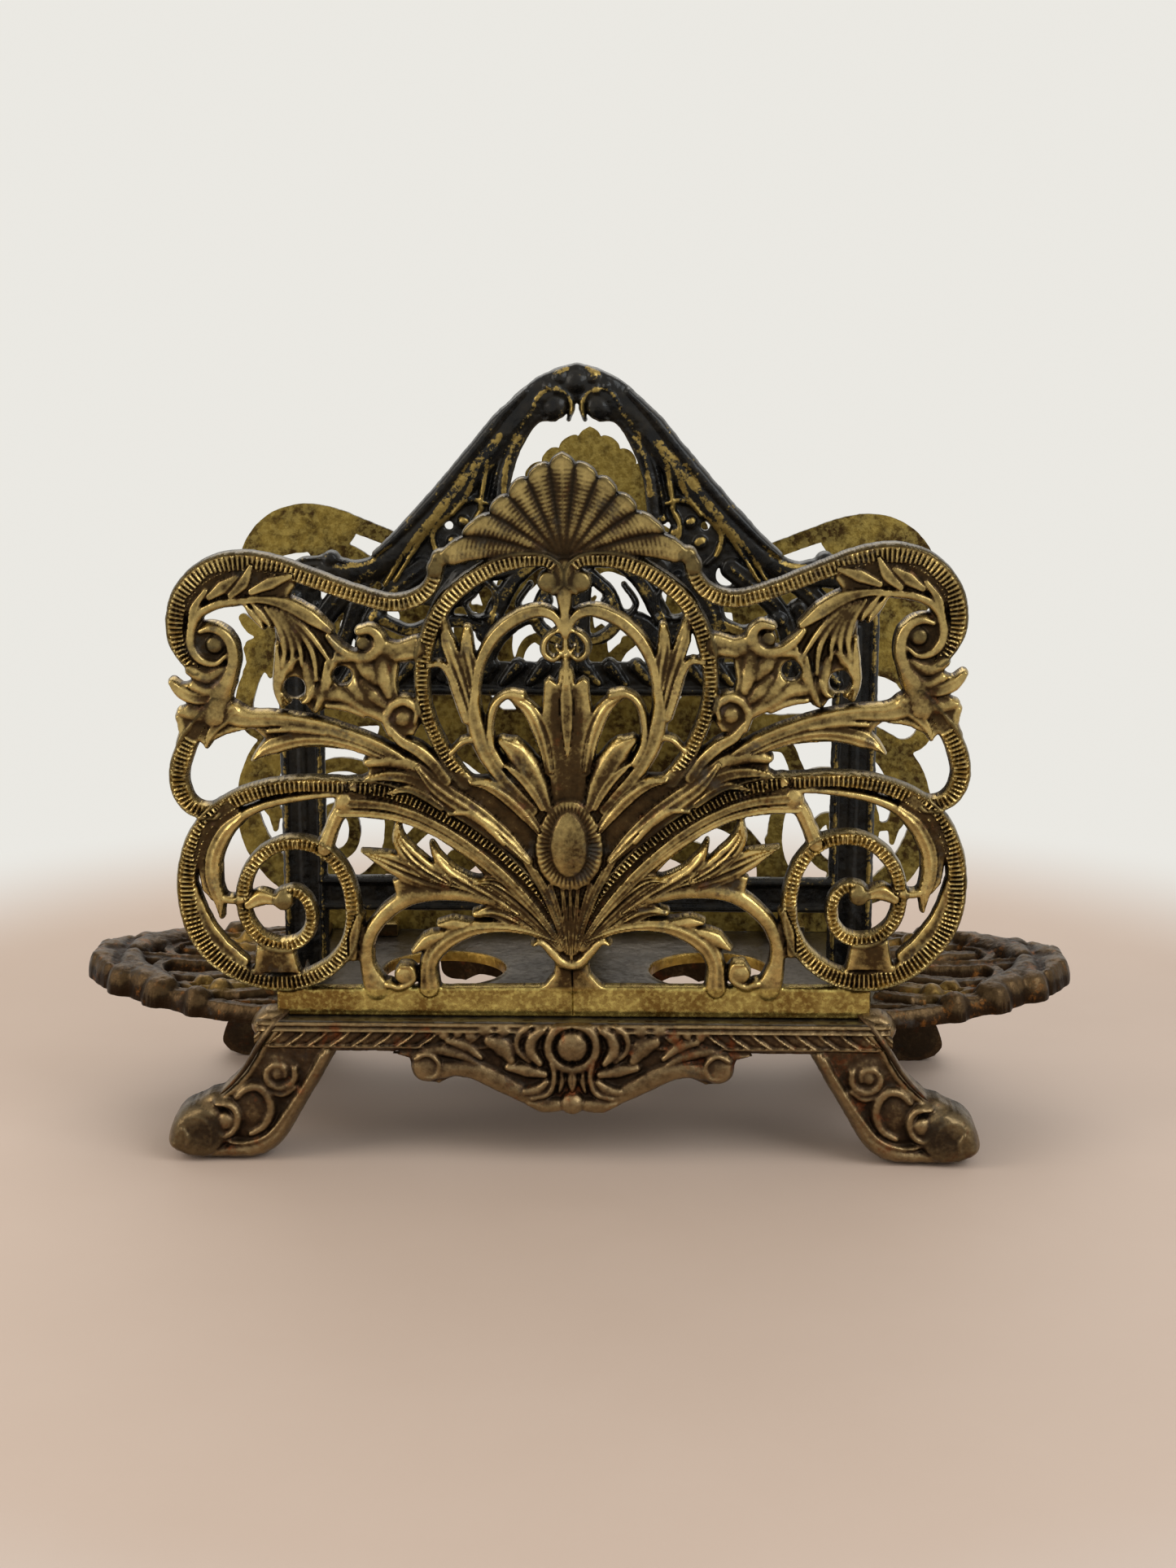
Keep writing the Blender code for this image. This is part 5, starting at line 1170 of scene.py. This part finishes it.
def handle_relief():
    """A broad acanthus leaf lying flat: fat lobes at its rim, ridges from one root, a thick tip."""
    r = Relief(84.0, 152.4, -50.0, 50.0, cell=0.4)
    near = [(x, -y) for x, y in HANDLE_EDGE]
    r.polygon(near + [(x, -y) for x, y in reversed(near)], 0.2)
    lobes = (
        ([(88, 43.4), (97, 41), (106, 37.4), (114, 33.6), (121, 29.4)], (4.4, 5.6, 6.0, 6.0, 5.0), 3.0),
        ([(137.4, 2.6), (135.6, 11.6), (129.6, 19.8), (121.6, 27.4)], (7.0, 11.6, 12.0, 7.0), 6.4),
        ([(141.6, 15.4), (143.4, 9.6), (142.4, 3.6)], (4.0, 6.4, 4.0), 5.4),
        ([(126, 2.4), (128.4, 8), (126.6, 14.6), (122, 19)], (4.0, 5.4, 5.4, 3.0), 4.4),
        ([(142.6, 14.4), (146, 8.4), (147.4, 1.6)], (4.6, 6.6, 6.8), 5.2),
        ([(90, 26), (99, 30), (109, 32.6), (118, 30.4)], (3.0, 7.4, 8.6, 5.0), 3.9),
        ([(90, 13), (101, 19.6), (112, 23.6), (120, 23.4)], (4.4, 8.6, 9.4, 5.4), 3.6),
        ([(96, 6), (106, 10.6), (116, 14.4), (123, 13.6)], (4.4, 7.6, 8.4, 5.6), 3.4),
        ([(87, 36), (94, 36.2), (101, 36.6)], (4.2, 4.6, 2.2), 2.8)
    )
    knobs = ((106, 26.6, 3.6), (124.4, 27.0, 5.4), (136.6, 17.4, 5.8), (145.4, 5.6, 5.4),
             (111.6, 35.4, 4.2))
    for s in (-1, 1):
        for line, widths, height in lobes:
            r.stem([(x, s * y) for x, y in line], widths, height, grooves=1 if height < 4.5 else 0)
        for x, y, radius in knobs:
            r.ball(x, s * y, radius, 3.4, base=2.6)
        r.ball(112.4, s * 19.6, 3.0, 1.6, base=3.0)
        r.slot([(109, s * 22.2), (113.6, s * 23.8)], (1.0, 1.6))
        r.slot([(101.4, s * 33.4), (105.6, s * 33.6)], (0.8, 1.4))
        r.tint = np.maximum(r.tint, 0.5 * np.exp(-((np.hypot((r.xx - 107) / 9, (r.yy - s * 24) / 7)) ** 4)))
    r.stem([(92, 0), (108, 0), (124, 0), (137, 0)], (4, 8, 9.5, 9), 4.6, grooves=2)
    r.stem([(136, 0), (141, 0), (145.6, 0)], (8, 9.4, 8), 4.6)
    r.stem([(143.4, -5), (146.8, -2.4), (146.8, 2.4), (143.4, 5)], (2.0, 2.6, 2.6, 2.0), 5.8)
    r.soften(1.3)
    r.roughen(91, outline=0.25, face=0.22)
    return r


def leaf_handle(end, relief, materials):
    """A leaf handle: level near the tray, its lobes and tip curling up."""
    skin = cast(relief, HANDLE_CORE, HANDLE_CORE - 1.2, edge_round=2.2, back_slot=0)

    def place(p):
        out = np.clip((p[:, 0] - CURL_START) / CURL_LENGTH, 0, 1.1)
        aside = np.clip(1 - np.abs(p[:, 1]) / CURL_HALF_WIDTH, 0, 1)
        z = p[:, 2] + HANDLE_BOTTOM + CURL_RISE * out ** 2 * aside
        return np.column_stack([end * p[:, 0], p[:, 1], z])

    if end < 0:
        skin.flip()
    return skin.mesh(end_name("leaf_handle", end), materials, place)


def swept(name, path, sizes, materials):
    """A smooth bar of changing oval section along a path, with rounded ends."""
    centres, run = smooth_line(path, 1.2)
    share = run / run[-1]
    end_taper = np.sqrt(np.clip(1 - (2 * share - 1) ** 14, 0, 1))
    half = spread(sizes, share) / 2 * np.maximum(end_taper, 0.04)
    turn = np.linspace(0, 2 * math.pi, BAR_SIDES, endpoint=False)
    last = len(centres) - 1
    rings = []
    for i, centre in enumerate(centres):
        ahead = centres[min(i + 1, last)] - centres[max(i - 1, 0)]
        ahead = ahead / np.linalg.norm(ahead)
        aside = np.cross(ahead, (0.0, 0.0, 1.0))
        aside = aside / np.linalg.norm(aside)
        over = np.cross(aside, ahead)
        across = np.outer(np.cos(turn), aside) * half[i]
        upward = np.outer(np.sin(turn), over) * half[i] * BAR_SQUASH
        rings.append(centre + across + upward)
    skin = Skin()
    # The bar's upper side is painted lighter and its underside darker, through the crest and hollow
    # colours.
    top_wear = np.tile(np.clip(np.sin(turn), -0.3, 1) * 0.5, len(rings))
    skin.add_points(np.vstack(rings), top_wear, 0.0)
    row = np.arange(last)[:, None] * BAR_SIDES
    column = np.arange(BAR_SIDES)[None]
    at, beside = row + column, row + (column + 1) % BAR_SIDES
    skin.add_faces(np.stack([at, beside, beside + BAR_SIDES, at + BAR_SIDES], axis=-1).reshape(-1, 4))
    skin.add_faces(column[:, ::-1])
    skin.add_faces(column + last * BAR_SIDES)
    obj = skin.mesh(name, materials)
    fix_normals(obj)
    return obj


def fix_normals(obj):
    """Points every face of a closed mesh outwards."""
    work = bmesh.new()
    work.from_mesh(obj.data)
    bmesh.ops.recalc_face_normals(work, faces=work.faces)
    work.to_mesh(obj.data)
    work.free()


def corner_lip(side, end, materials):
    """The smooth lip that rises at a corner of the tray and runs down the edge of the leg."""
    path = [(83.2, 26, 43.4), (83.4, 38, 44.2), (84, 46, 44.2), (86, 50.4, 42.6), (88.8, 52.2, 39),
            (91.4, 52.6, 34.6), (94.6, 52.4, 29.2), (98.6, 52, 24.2), (102.8, 51.4, 20)]
    placed = [(end * x, side * y, z) for x, y, z in path]
    sizes = (2.0, 3.6, 4.2, 4.2, 3.6, 3.2, 2.8, 2.4, 1.8)
    return swept(corner_name("corner_lip", side, end), placed, sizes, materials)


def end_apron(end, materials):
    """The plain strip under an end of the tray, with a bead along its lower edge."""
    r = Relief(-50.0, 50.0, 34.0, 43.0, cell=0.5)
    r.polygon([(-49.5, 36), (49.5, 36), (49.5, 42.2), (-49.5, 42.2)], 0.0)
    r.stem([(-49, 36.8), (49, 36.8)], (1.8, 1.8), 0.9)
    r.roughen(101, outline=0.1, face=0.1)
    skin = cast(r, 2.2, 1.8, back_slot=0)

    def place(p):
        return np.column_stack([end * (END_APRON_X + p[:, 2]), end * p[:, 0], p[:, 1]])

    return skin.mesh(end_name("end_apron", end), materials, place)


def lug(name, x, y_inner, y_outer, floor, materials):
    """A screw lug at the foot of a panel, with its hole."""
    middle, half = (y_inner + y_outer) / 2, abs(y_outer - y_inner) / 2
    left, right, low, high = x - LUG_HALF_WIDTH, x + LUG_HALF_WIDTH, middle - half, middle + half
    r = Relief(left - 1, right + 1, low - 1, high + 1, cell=0.3)
    r.polygon([(left, low), (right, low), (right, high), (left, high)], 0.0)
    r.hole(x, middle + (LUG_HOLE_SHIFT if middle < 0 else -LUG_HOLE_SHIFT), LUG_HOLE)
    skin = cast(r, LUG_PLATE, LUG_PLATE - 0.4, edge_round=0.6)
    return skin.mesh(name, materials, raised(floor))


# ------------------------------------------------------------------------------------ materials
def rgb(r, g, b):
    """A colour from its 0 to 255 screen values."""
    def linear(v):
        v /= 255
        return v / 12.92 if v <= 0.04045 else ((v + 0.055) / 1.055) ** 2.4
    return linear(r), linear(g), linear(b), 1.0


class Graph:
    """A material's nodes, built by short calls."""

    def __init__(self, name):
        self.material = bpy.data.materials.new(name)
        self.material.use_nodes = True
        self.tree = self.material.node_tree
        self.tree.nodes.clear()
        self.where = self.add("ShaderNodeTexCoord").outputs["Object"]

    def add(self, kind, **inputs):
        node = self.tree.nodes.new(kind)
        for key, value in inputs.items():
            self.put(node.inputs[key], value)
        return node

    def put(self, socket, value):
        if isinstance(value, bpy.types.NodeSocket):
            self.tree.links.new(value, socket)
        else:
            socket.default_value = value

    def attribute(self, name):
        node = self.add("ShaderNodeAttribute")
        node.attribute_name = name
        return node.outputs["Fac"]

    def noise(self, size, detail=3.0, rough=0.6):
        """Noise with features of about size millimetres, in object coordinates."""
        node = self.add("ShaderNodeTexNoise", Vector=self.where)
        node.inputs["Scale"].default_value = 1.0 / (size * MM)
        node.inputs["Detail"].default_value = detail
        node.inputs["Roughness"].default_value = rough
        return node.outputs["Fac"]

    def maths(self, operation, a, b=0.5, clamp=False):
        node = self.tree.nodes.new("ShaderNodeMath")
        node.operation = operation
        node.use_clamp = clamp
        self.put(node.inputs[0], a)
        self.put(node.inputs[1], b)
        return node.outputs[0]

    def scaled(self, value, amount):
        return self.maths("MULTIPLY", value, amount)

    def vary(self, value, field, amount, clamp=False):
        """Value, made higher or lower by up to half of amount as the field goes."""
        return self.maths("ADD", value, self.scaled(self.maths("SUBTRACT", field, 0.5), amount), clamp)

    def between(self, value, low, high):
        """0 where value is low, 1 where it is high, clamped and smooth."""
        node = self.add("ShaderNodeMapRange", Value=value)
        node.interpolation_type = "SMOOTHSTEP"
        node.inputs["From Min"].default_value = low
        node.inputs["From Max"].default_value = high
        return node.outputs["Result"]

    def ramp(self, value, stops):
        node = self.add("ShaderNodeValToRGB", Fac=value)
        elements = node.color_ramp.elements
        while len(elements) < len(stops):
            elements.new(0.5)
        for element, (at, colour) in zip(elements, stops):
            element.position = at
            element.color = colour
        return node.outputs["Color"]

    def mix(self, share, a, b):
        node = self.tree.nodes.new("ShaderNodeMix")
        node.data_type = "RGBA"
        self.put(node.inputs[0], share)
        self.put(node.inputs[6], a)
        self.put(node.inputs[7], b)
        return node.outputs[2]

    def bump(self, height, distance, under=None):
        node = self.add("ShaderNodeBump", Height=height)
        node.inputs["Distance"].default_value = distance * MM
        if under is not None:
            self.put(node.inputs["Normal"], under)
        return node.outputs["Normal"]

    def finish(self, colour, metallic, roughness, normal, **constants):
        shader = self.add("ShaderNodeBsdfPrincipled")
        sockets = {"Base Color": colour, "Metallic": metallic, "Roughness": roughness, "Normal": normal}
        for key, value in sockets.items():
            self.put(shader.inputs[key], value)
        for key, value in constants.items():
            shader.inputs[key.replace("_", " ")].default_value = value
        self.add("ShaderNodeOutputMaterial", Surface=shader.outputs["BSDF"])
        return self.material


POLISHED_ROUGH = 0.34    # roughness where the tint attribute is 1
DARK_PATINA = (0.016, 0.014, 0.010, 1.0)


def aged_brass(name, deep, body, crest, stains, flat, pits=0.05, rough=(0.50, 0.26),
               patina_and_shade=DARK_PATINA, upper_shade=0.0):
    """Cast brass: dark in the hollows from tarnish and painted shade, rubbed on the crests and lit
    there by a painted highlight, with stains and a polished part.

    stains is a list of (colour, feature size, amount); flat is the pair of colours of the
    polished part, where the tint attribute is 1; patina_and_shade is the dark colour where tone is
    1, tarnish on most marks and painted shade in the shell's grooves, and upper_shade is how much
    of it lies over the upper part as painted shade."""
    g = Graph(name)
    mottle = g.noise(9.0, 5.0, 0.65)
    fine = g.noise(1.3, 4.0, 0.6)
    # The crest colour stands for rubbed brass with a painted highlight, the deep colour for tarnish with
    # painted shade in the hollows.
    wear = g.maths("ADD", g.scaled(g.attribute("wear"), 0.36), 0.44)
    wear = g.vary(wear, fine, 0.45)
    wear = g.vary(wear, mottle, 0.70, clamp=True)
    colour = g.ramp(wear, [(0.08, deep), (0.46, body), (0.90, crest)])
    for stain, size, amount in stains:
        patch = g.between(g.noise(size, 4.0, 0.7), 0.62 - 0.1 * amount, 0.80 - 0.1 * amount)
        colour = g.mix(g.scaled(patch, min(1.0, amount)), colour, stain)
    cloud = g.between(g.noise(14.0, 6.0, 0.7), 0.38, 0.64)
    speck = g.between(g.noise(1.7, 4.0, 0.6), 0.44, 0.66)
    polished = g.mix(g.maths("MULTIPLY", g.maths("ADD", cloud, speck), 0.5), flat[0], flat[1])
    tint = g.attribute("tint")
    colour = g.mix(tint, colour, polished)
    tone = g.attribute("tone")
    # Painted shade: the dark colour goes where tone is 1 (tarnish, and shade in the shell's grooves) and,
    # by the upper-shade share, over the part 0.10 to 0.19 m up.
    height = g.add("ShaderNodeSeparateXYZ", Vector=g.where).outputs["Z"]
    upper_shade_share = g.maths("MULTIPLY", g.between(height, 0.10, 0.19), upper_shade)
    colour = g.mix(g.maths("ADD", g.scaled(tone, 0.84), upper_shade_share, clamp=True), colour, patina_and_shade)
    rough_value = g.add("ShaderNodeMapRange", Value=wear)
    rough_value.inputs["To Min"].default_value = rough[0]
    rough_value.inputs["To Max"].default_value = rough[1]
    smooth = g.vary(rough_value.outputs["Result"], speck, 0.12)
    bare = g.scaled(tint, POLISHED_ROUGH - rough[0] * 0.8)
    roughness = g.maths("ADD", smooth, bare, clamp=True)
    normal = g.bump(g.noise(0.55, 3.0, 0.6), pits)
    normal = g.bump(g.noise(3.2, 3.0, 0.6), pits * 2.4, under=normal)
    return g.finish(colour, 0.94, roughness, normal)


def panel_brass():
    # The crest colour is partly a painted highlight; the panel's upper part is darkened as painted shade.
    return aged_brass("panel_brass", rgb(34, 24, 12), rgb(68, 51, 29), rgb(192, 166, 104),
                      [(rgb(112, 64, 32), 5.0, 0.5), (rgb(58, 60, 56), 10.0, 0.7)],
                      (rgb(120, 94, 46), rgb(206, 188, 110)), patina_and_shade=rgb(36, 29, 20), upper_shade=0.24)


def panel_back():
    """The flat inner face of a panel, as it left the sand, dull yellow with brown patches."""
    g = Graph("panel_back")
    patch = g.between(g.noise(11.0, 6.0, 0.68), 0.40, 0.62)
    speck = g.between(g.noise(1.8, 4.0, 0.6), 0.42, 0.62)
    colour = g.mix(patch, rgb(140, 118, 56), rgb(62, 44, 20))
    colour = g.mix(g.scaled(speck, 0.35), colour, rgb(184, 164, 92))
    normal = g.bump(g.noise(0.8, 4.0, 0.65), 0.09)
    normal = g.bump(g.noise(4.0, 3.0, 0.6), 0.25, under=normal)
    return g.finish(colour, 0.9, g.maths("ADD", g.scaled(speck, 0.12), 0.42), normal)


def base_bronze():
    return aged_brass("base_bronze", rgb(38, 28, 19), rgb(66, 50, 34), rgb(136, 114, 80),
                      [(rgb(112, 58, 28), 7.0, 0.7), (rgb(58, 54, 50), 12.0, 0.6)],
                      (rgb(120, 92, 40), rgb(176, 144, 74)), pits=0.08, rough=(0.56, 0.36))


def tray_bronze():
    """The top of the tray: grey-brown, smooth and a little glossy, its wells cut through to brass."""
    return aged_brass("tray_bronze", rgb(44, 38, 32), rgb(84, 76, 66), rgb(122, 112, 96),
                      [(rgb(104, 86, 64), 16.0, 0.5), (rgb(54, 50, 46), 9.0, 0.5)],
                      (rgb(140, 108, 44), rgb(196, 160, 80)), pits=0.05, rough=(0.46, 0.32))


def handle_bronze():
    """The leaf handles: rougher and greyer than the rest of the base."""
    return aged_brass("handle_bronze", rgb(36, 22, 9), rgb(40, 28, 15), rgb(80, 62, 40),
                      [(rgb(120, 74, 30), 5.0, 0.7), (rgb(52, 48, 44), 8.0, 0.7)],
                      (rgb(120, 92, 40), rgb(176, 144, 74)), pits=0.12, rough=(0.60, 0.38))


def frame_lacquer():
    """Black lacquer over brass; the gilded lines (tint) show brass where the black has gone."""
    g = Graph("frame_lacquer")
    mottle = g.noise(6.0, 5.0, 0.7)
    fine = g.noise(0.9, 4.0, 0.65)
    gilt = g.scaled(g.attribute("tint"), 0.50)
    wear = g.maths("ADD", g.scaled(g.attribute("wear"), 0.28), gilt)
    wear = g.vary(wear, fine, 0.9)
    wear = g.vary(wear, mottle, 1.5)
    bare = g.between(wear, 0.44, 0.66)
    black = g.mix(g.between(mottle, 0.35, 0.7), rgb(10, 10, 11), rgb(30, 26, 20))
    gold = g.mix(fine, rgb(104, 82, 40), rgb(176, 152, 88))
    colour = g.mix(bare, black, gold)
    roughness = g.maths("ADD", g.scaled(bare, 0.12), g.maths("ADD", g.scaled(mottle, 0.16), 0.20))
    normal = g.bump(g.noise(0.7, 3.0, 0.6), 0.05)
    normal = g.bump(g.noise(3.0, 3.0, 0.6), 0.14, under=normal)
    return g.finish(colour, g.scaled(bare, 0.9), roughness, normal, Specular_IOR_Level=0.22)


def screw_steel():
    """Dull steel with fine turning marks and brown specks."""
    g = Graph("screw_steel")
    fine = g.noise(0.5, 4.0, 0.7)
    stain = g.between(g.noise(1.6, 4.0, 0.6), 0.46, 0.66)
    colour = g.mix(stain, g.mix(fine, rgb(104, 100, 94), rgb(156, 150, 140)), rgb(84, 60, 40))
    normal = g.bump(fine, 0.04)
    return g.finish(colour, 0.95, g.maths("ADD", g.scaled(fine, 0.2), 0.32), normal)


# --------------------------------------------------------------------- floor, light and camera
FLOOR_REACH = 0.46
ROOM_COLOUR = (240, 238, 232)
ROOM_LIGHT = 0.95


def floor_sheet():
    """A round pale table top that melts into the colour of the room at its rim."""
    g = Graph("floor_matt")
    split = g.add("ShaderNodeSeparateXYZ", Vector=g.where)
    away = g.maths("SQRT", g.maths("ADD", g.maths("MULTIPLY", split.outputs["X"], split.outputs["X"]),
                                   g.maths("MULTIPLY", split.outputs["Y"], split.outputs["Y"])))
    cloud = g.noise(60.0, 3.0)
    colour = g.mix(g.maths("MULTIPLY", cloud, 0.3), rgb(176, 156, 142), rgb(190, 172, 160))
    normal = g.bump(g.noise(1.2, 2.0), 0.02)
    matt = g.add("ShaderNodeBsdfPrincipled", Normal=normal, Roughness=0.66)
    g.put(matt.inputs["Base Color"], colour)
    glow = g.add("ShaderNodeEmission", Color=rgb(*ROOM_COLOUR), Strength=ROOM_LIGHT)
    both = g.add("ShaderNodeMixShader", Fac=g.between(away, 0.26, FLOOR_REACH * 0.9))
    g.put(both.inputs[1], matt.outputs["BSDF"])
    g.put(both.inputs[2], glow.outputs["Emission"])
    g.add("ShaderNodeOutputMaterial", Surface=both.outputs["Shader"])
    work = bmesh.new()
    bmesh.ops.create_circle(work, cap_ends=True, segments=96, radius=FLOOR_REACH)
    data = bpy.data.meshes.new("floor")
    work.to_mesh(data)
    work.free()
    data.materials.append(g.material)
    floor = bpy.data.objects.new("floor", data)
    bpy.context.scene.collection.objects.link(floor)


def area_light(name, place, target, size, power, colour):
    data = bpy.data.lights.new(name, "AREA")
    data.shape = "RECTANGLE"
    data.size, data.size_y = size
    data.energy = power
    data.color = colour[:3]
    light = bpy.data.objects.new(name, data)
    light.location = place
    light.rotation_euler = (Vector(target) - Vector(place)).to_track_quat("-Z", "Y").to_euler()
    bpy.context.scene.collection.objects.link(light)


def studio():
    """An off-white room, a cool window on the right and a warm, weaker one on the left."""
    world = bpy.data.worlds.new("studio")
    world.use_nodes = True
    back = world.node_tree.nodes["Background"]
    back.inputs["Color"].default_value = rgb(*ROOM_COLOUR)
    back.inputs["Strength"].default_value = ROOM_LIGHT
    bpy.context.scene.world = world
    area_light("window_right", (0.75, -0.55, 0.75), (0, 0, 0.1), (0.7, 0.7), 6.5, (0.92, 0.97, 1.0))
    area_light("window_left", (-0.80, -0.35, 0.55), (0, 0, 0.1), (0.5, 0.7), 3.8, (1.0, 0.93, 0.82))
    area_light("behind", (-0.1, 0.7, 0.8), (0, 0, 0.1), (1.0, 0.6), 3.4, (1.0, 0.98, 0.94))
    bpy.context.scene.view_settings.view_transform = "Standard"


CAMERA_PLACE = (0.02026, -0.69051, 0.25459)
CAMERA_PITCH = math.radians(12.462)
CAMERA_YAW = math.radians(1.411)
CAMERA_LENS = 53.40


def camera():
    data = bpy.data.cameras.new("camera")
    data.sensor_width = 36.0
    data.lens = CAMERA_LENS
    eye = bpy.data.objects.new("camera", data)
    eye.location = CAMERA_PLACE
    eye.rotation_euler = (math.radians(90) - CAMERA_PITCH, 0, CAMERA_YAW)
    bpy.context.scene.collection.objects.link(eye)
    bpy.context.scene.camera = eye


# ------------------------------------------------------------------------------ putting it there
LUG_LIFT = 0.17


def settle(piece, node):
    """A piece rides with the whole rack and stands for its CAD node, which is hidden."""
    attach(piece, "root")
    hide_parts(node)


def build():
    brass, back = panel_brass(), panel_back()
    for name, turned in (("front_panel", False), ("rear_panel", True)):
        settle(panel(name, turned, [brass, back]), name)
        low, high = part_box(name)
        inner = (low.y if turned else high.y) / MM
        outer = inner + (LUG_DEPTH if turned else -LUG_DEPTH)
        for x, label in ((-LUG_X, "left"), (LUG_X, "right")):
            piece = lug(f"{name}_lug_{label}", x, inner, outer, low.z / MM + LUG_LIFT, [brass, back])
            settle(piece, name)
    lacquer = frame_lacquer()
    settle(handle_frame([lacquer]), "handle_frame")
    bronze, tray_top, leaf_metal = base_bronze(), tray_bronze(), handle_bronze()
    base = [tray([tray_top, tray_top])]
    aprons, legs, ears, leaves = apron_relief(), leg_relief(), ear_relief(), handle_relief()
    for side in (-1, 1):
        base.append(apron(side, aprons, [bronze]))
        for end in (-1, 1):
            base.append(leg(side, end, legs, [bronze]))
            base.append(ear(side, end, ears, [bronze]))
            base.append(corner_lip(side, end, [bronze]))
    for end in (-1, 1):
        base.append(end_apron(end, [bronze]))
        base.append(leaf_handle(end, leaves, [leaf_metal]))
    for piece in base:
        settle(piece, "base_casting")
    steel = screw_steel()
    for name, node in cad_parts.items():
        if name.startswith("screw"):
            node.data.materials.clear()
            node.data.materials.append(steel)


build()
floor_sheet()
studio()
camera()
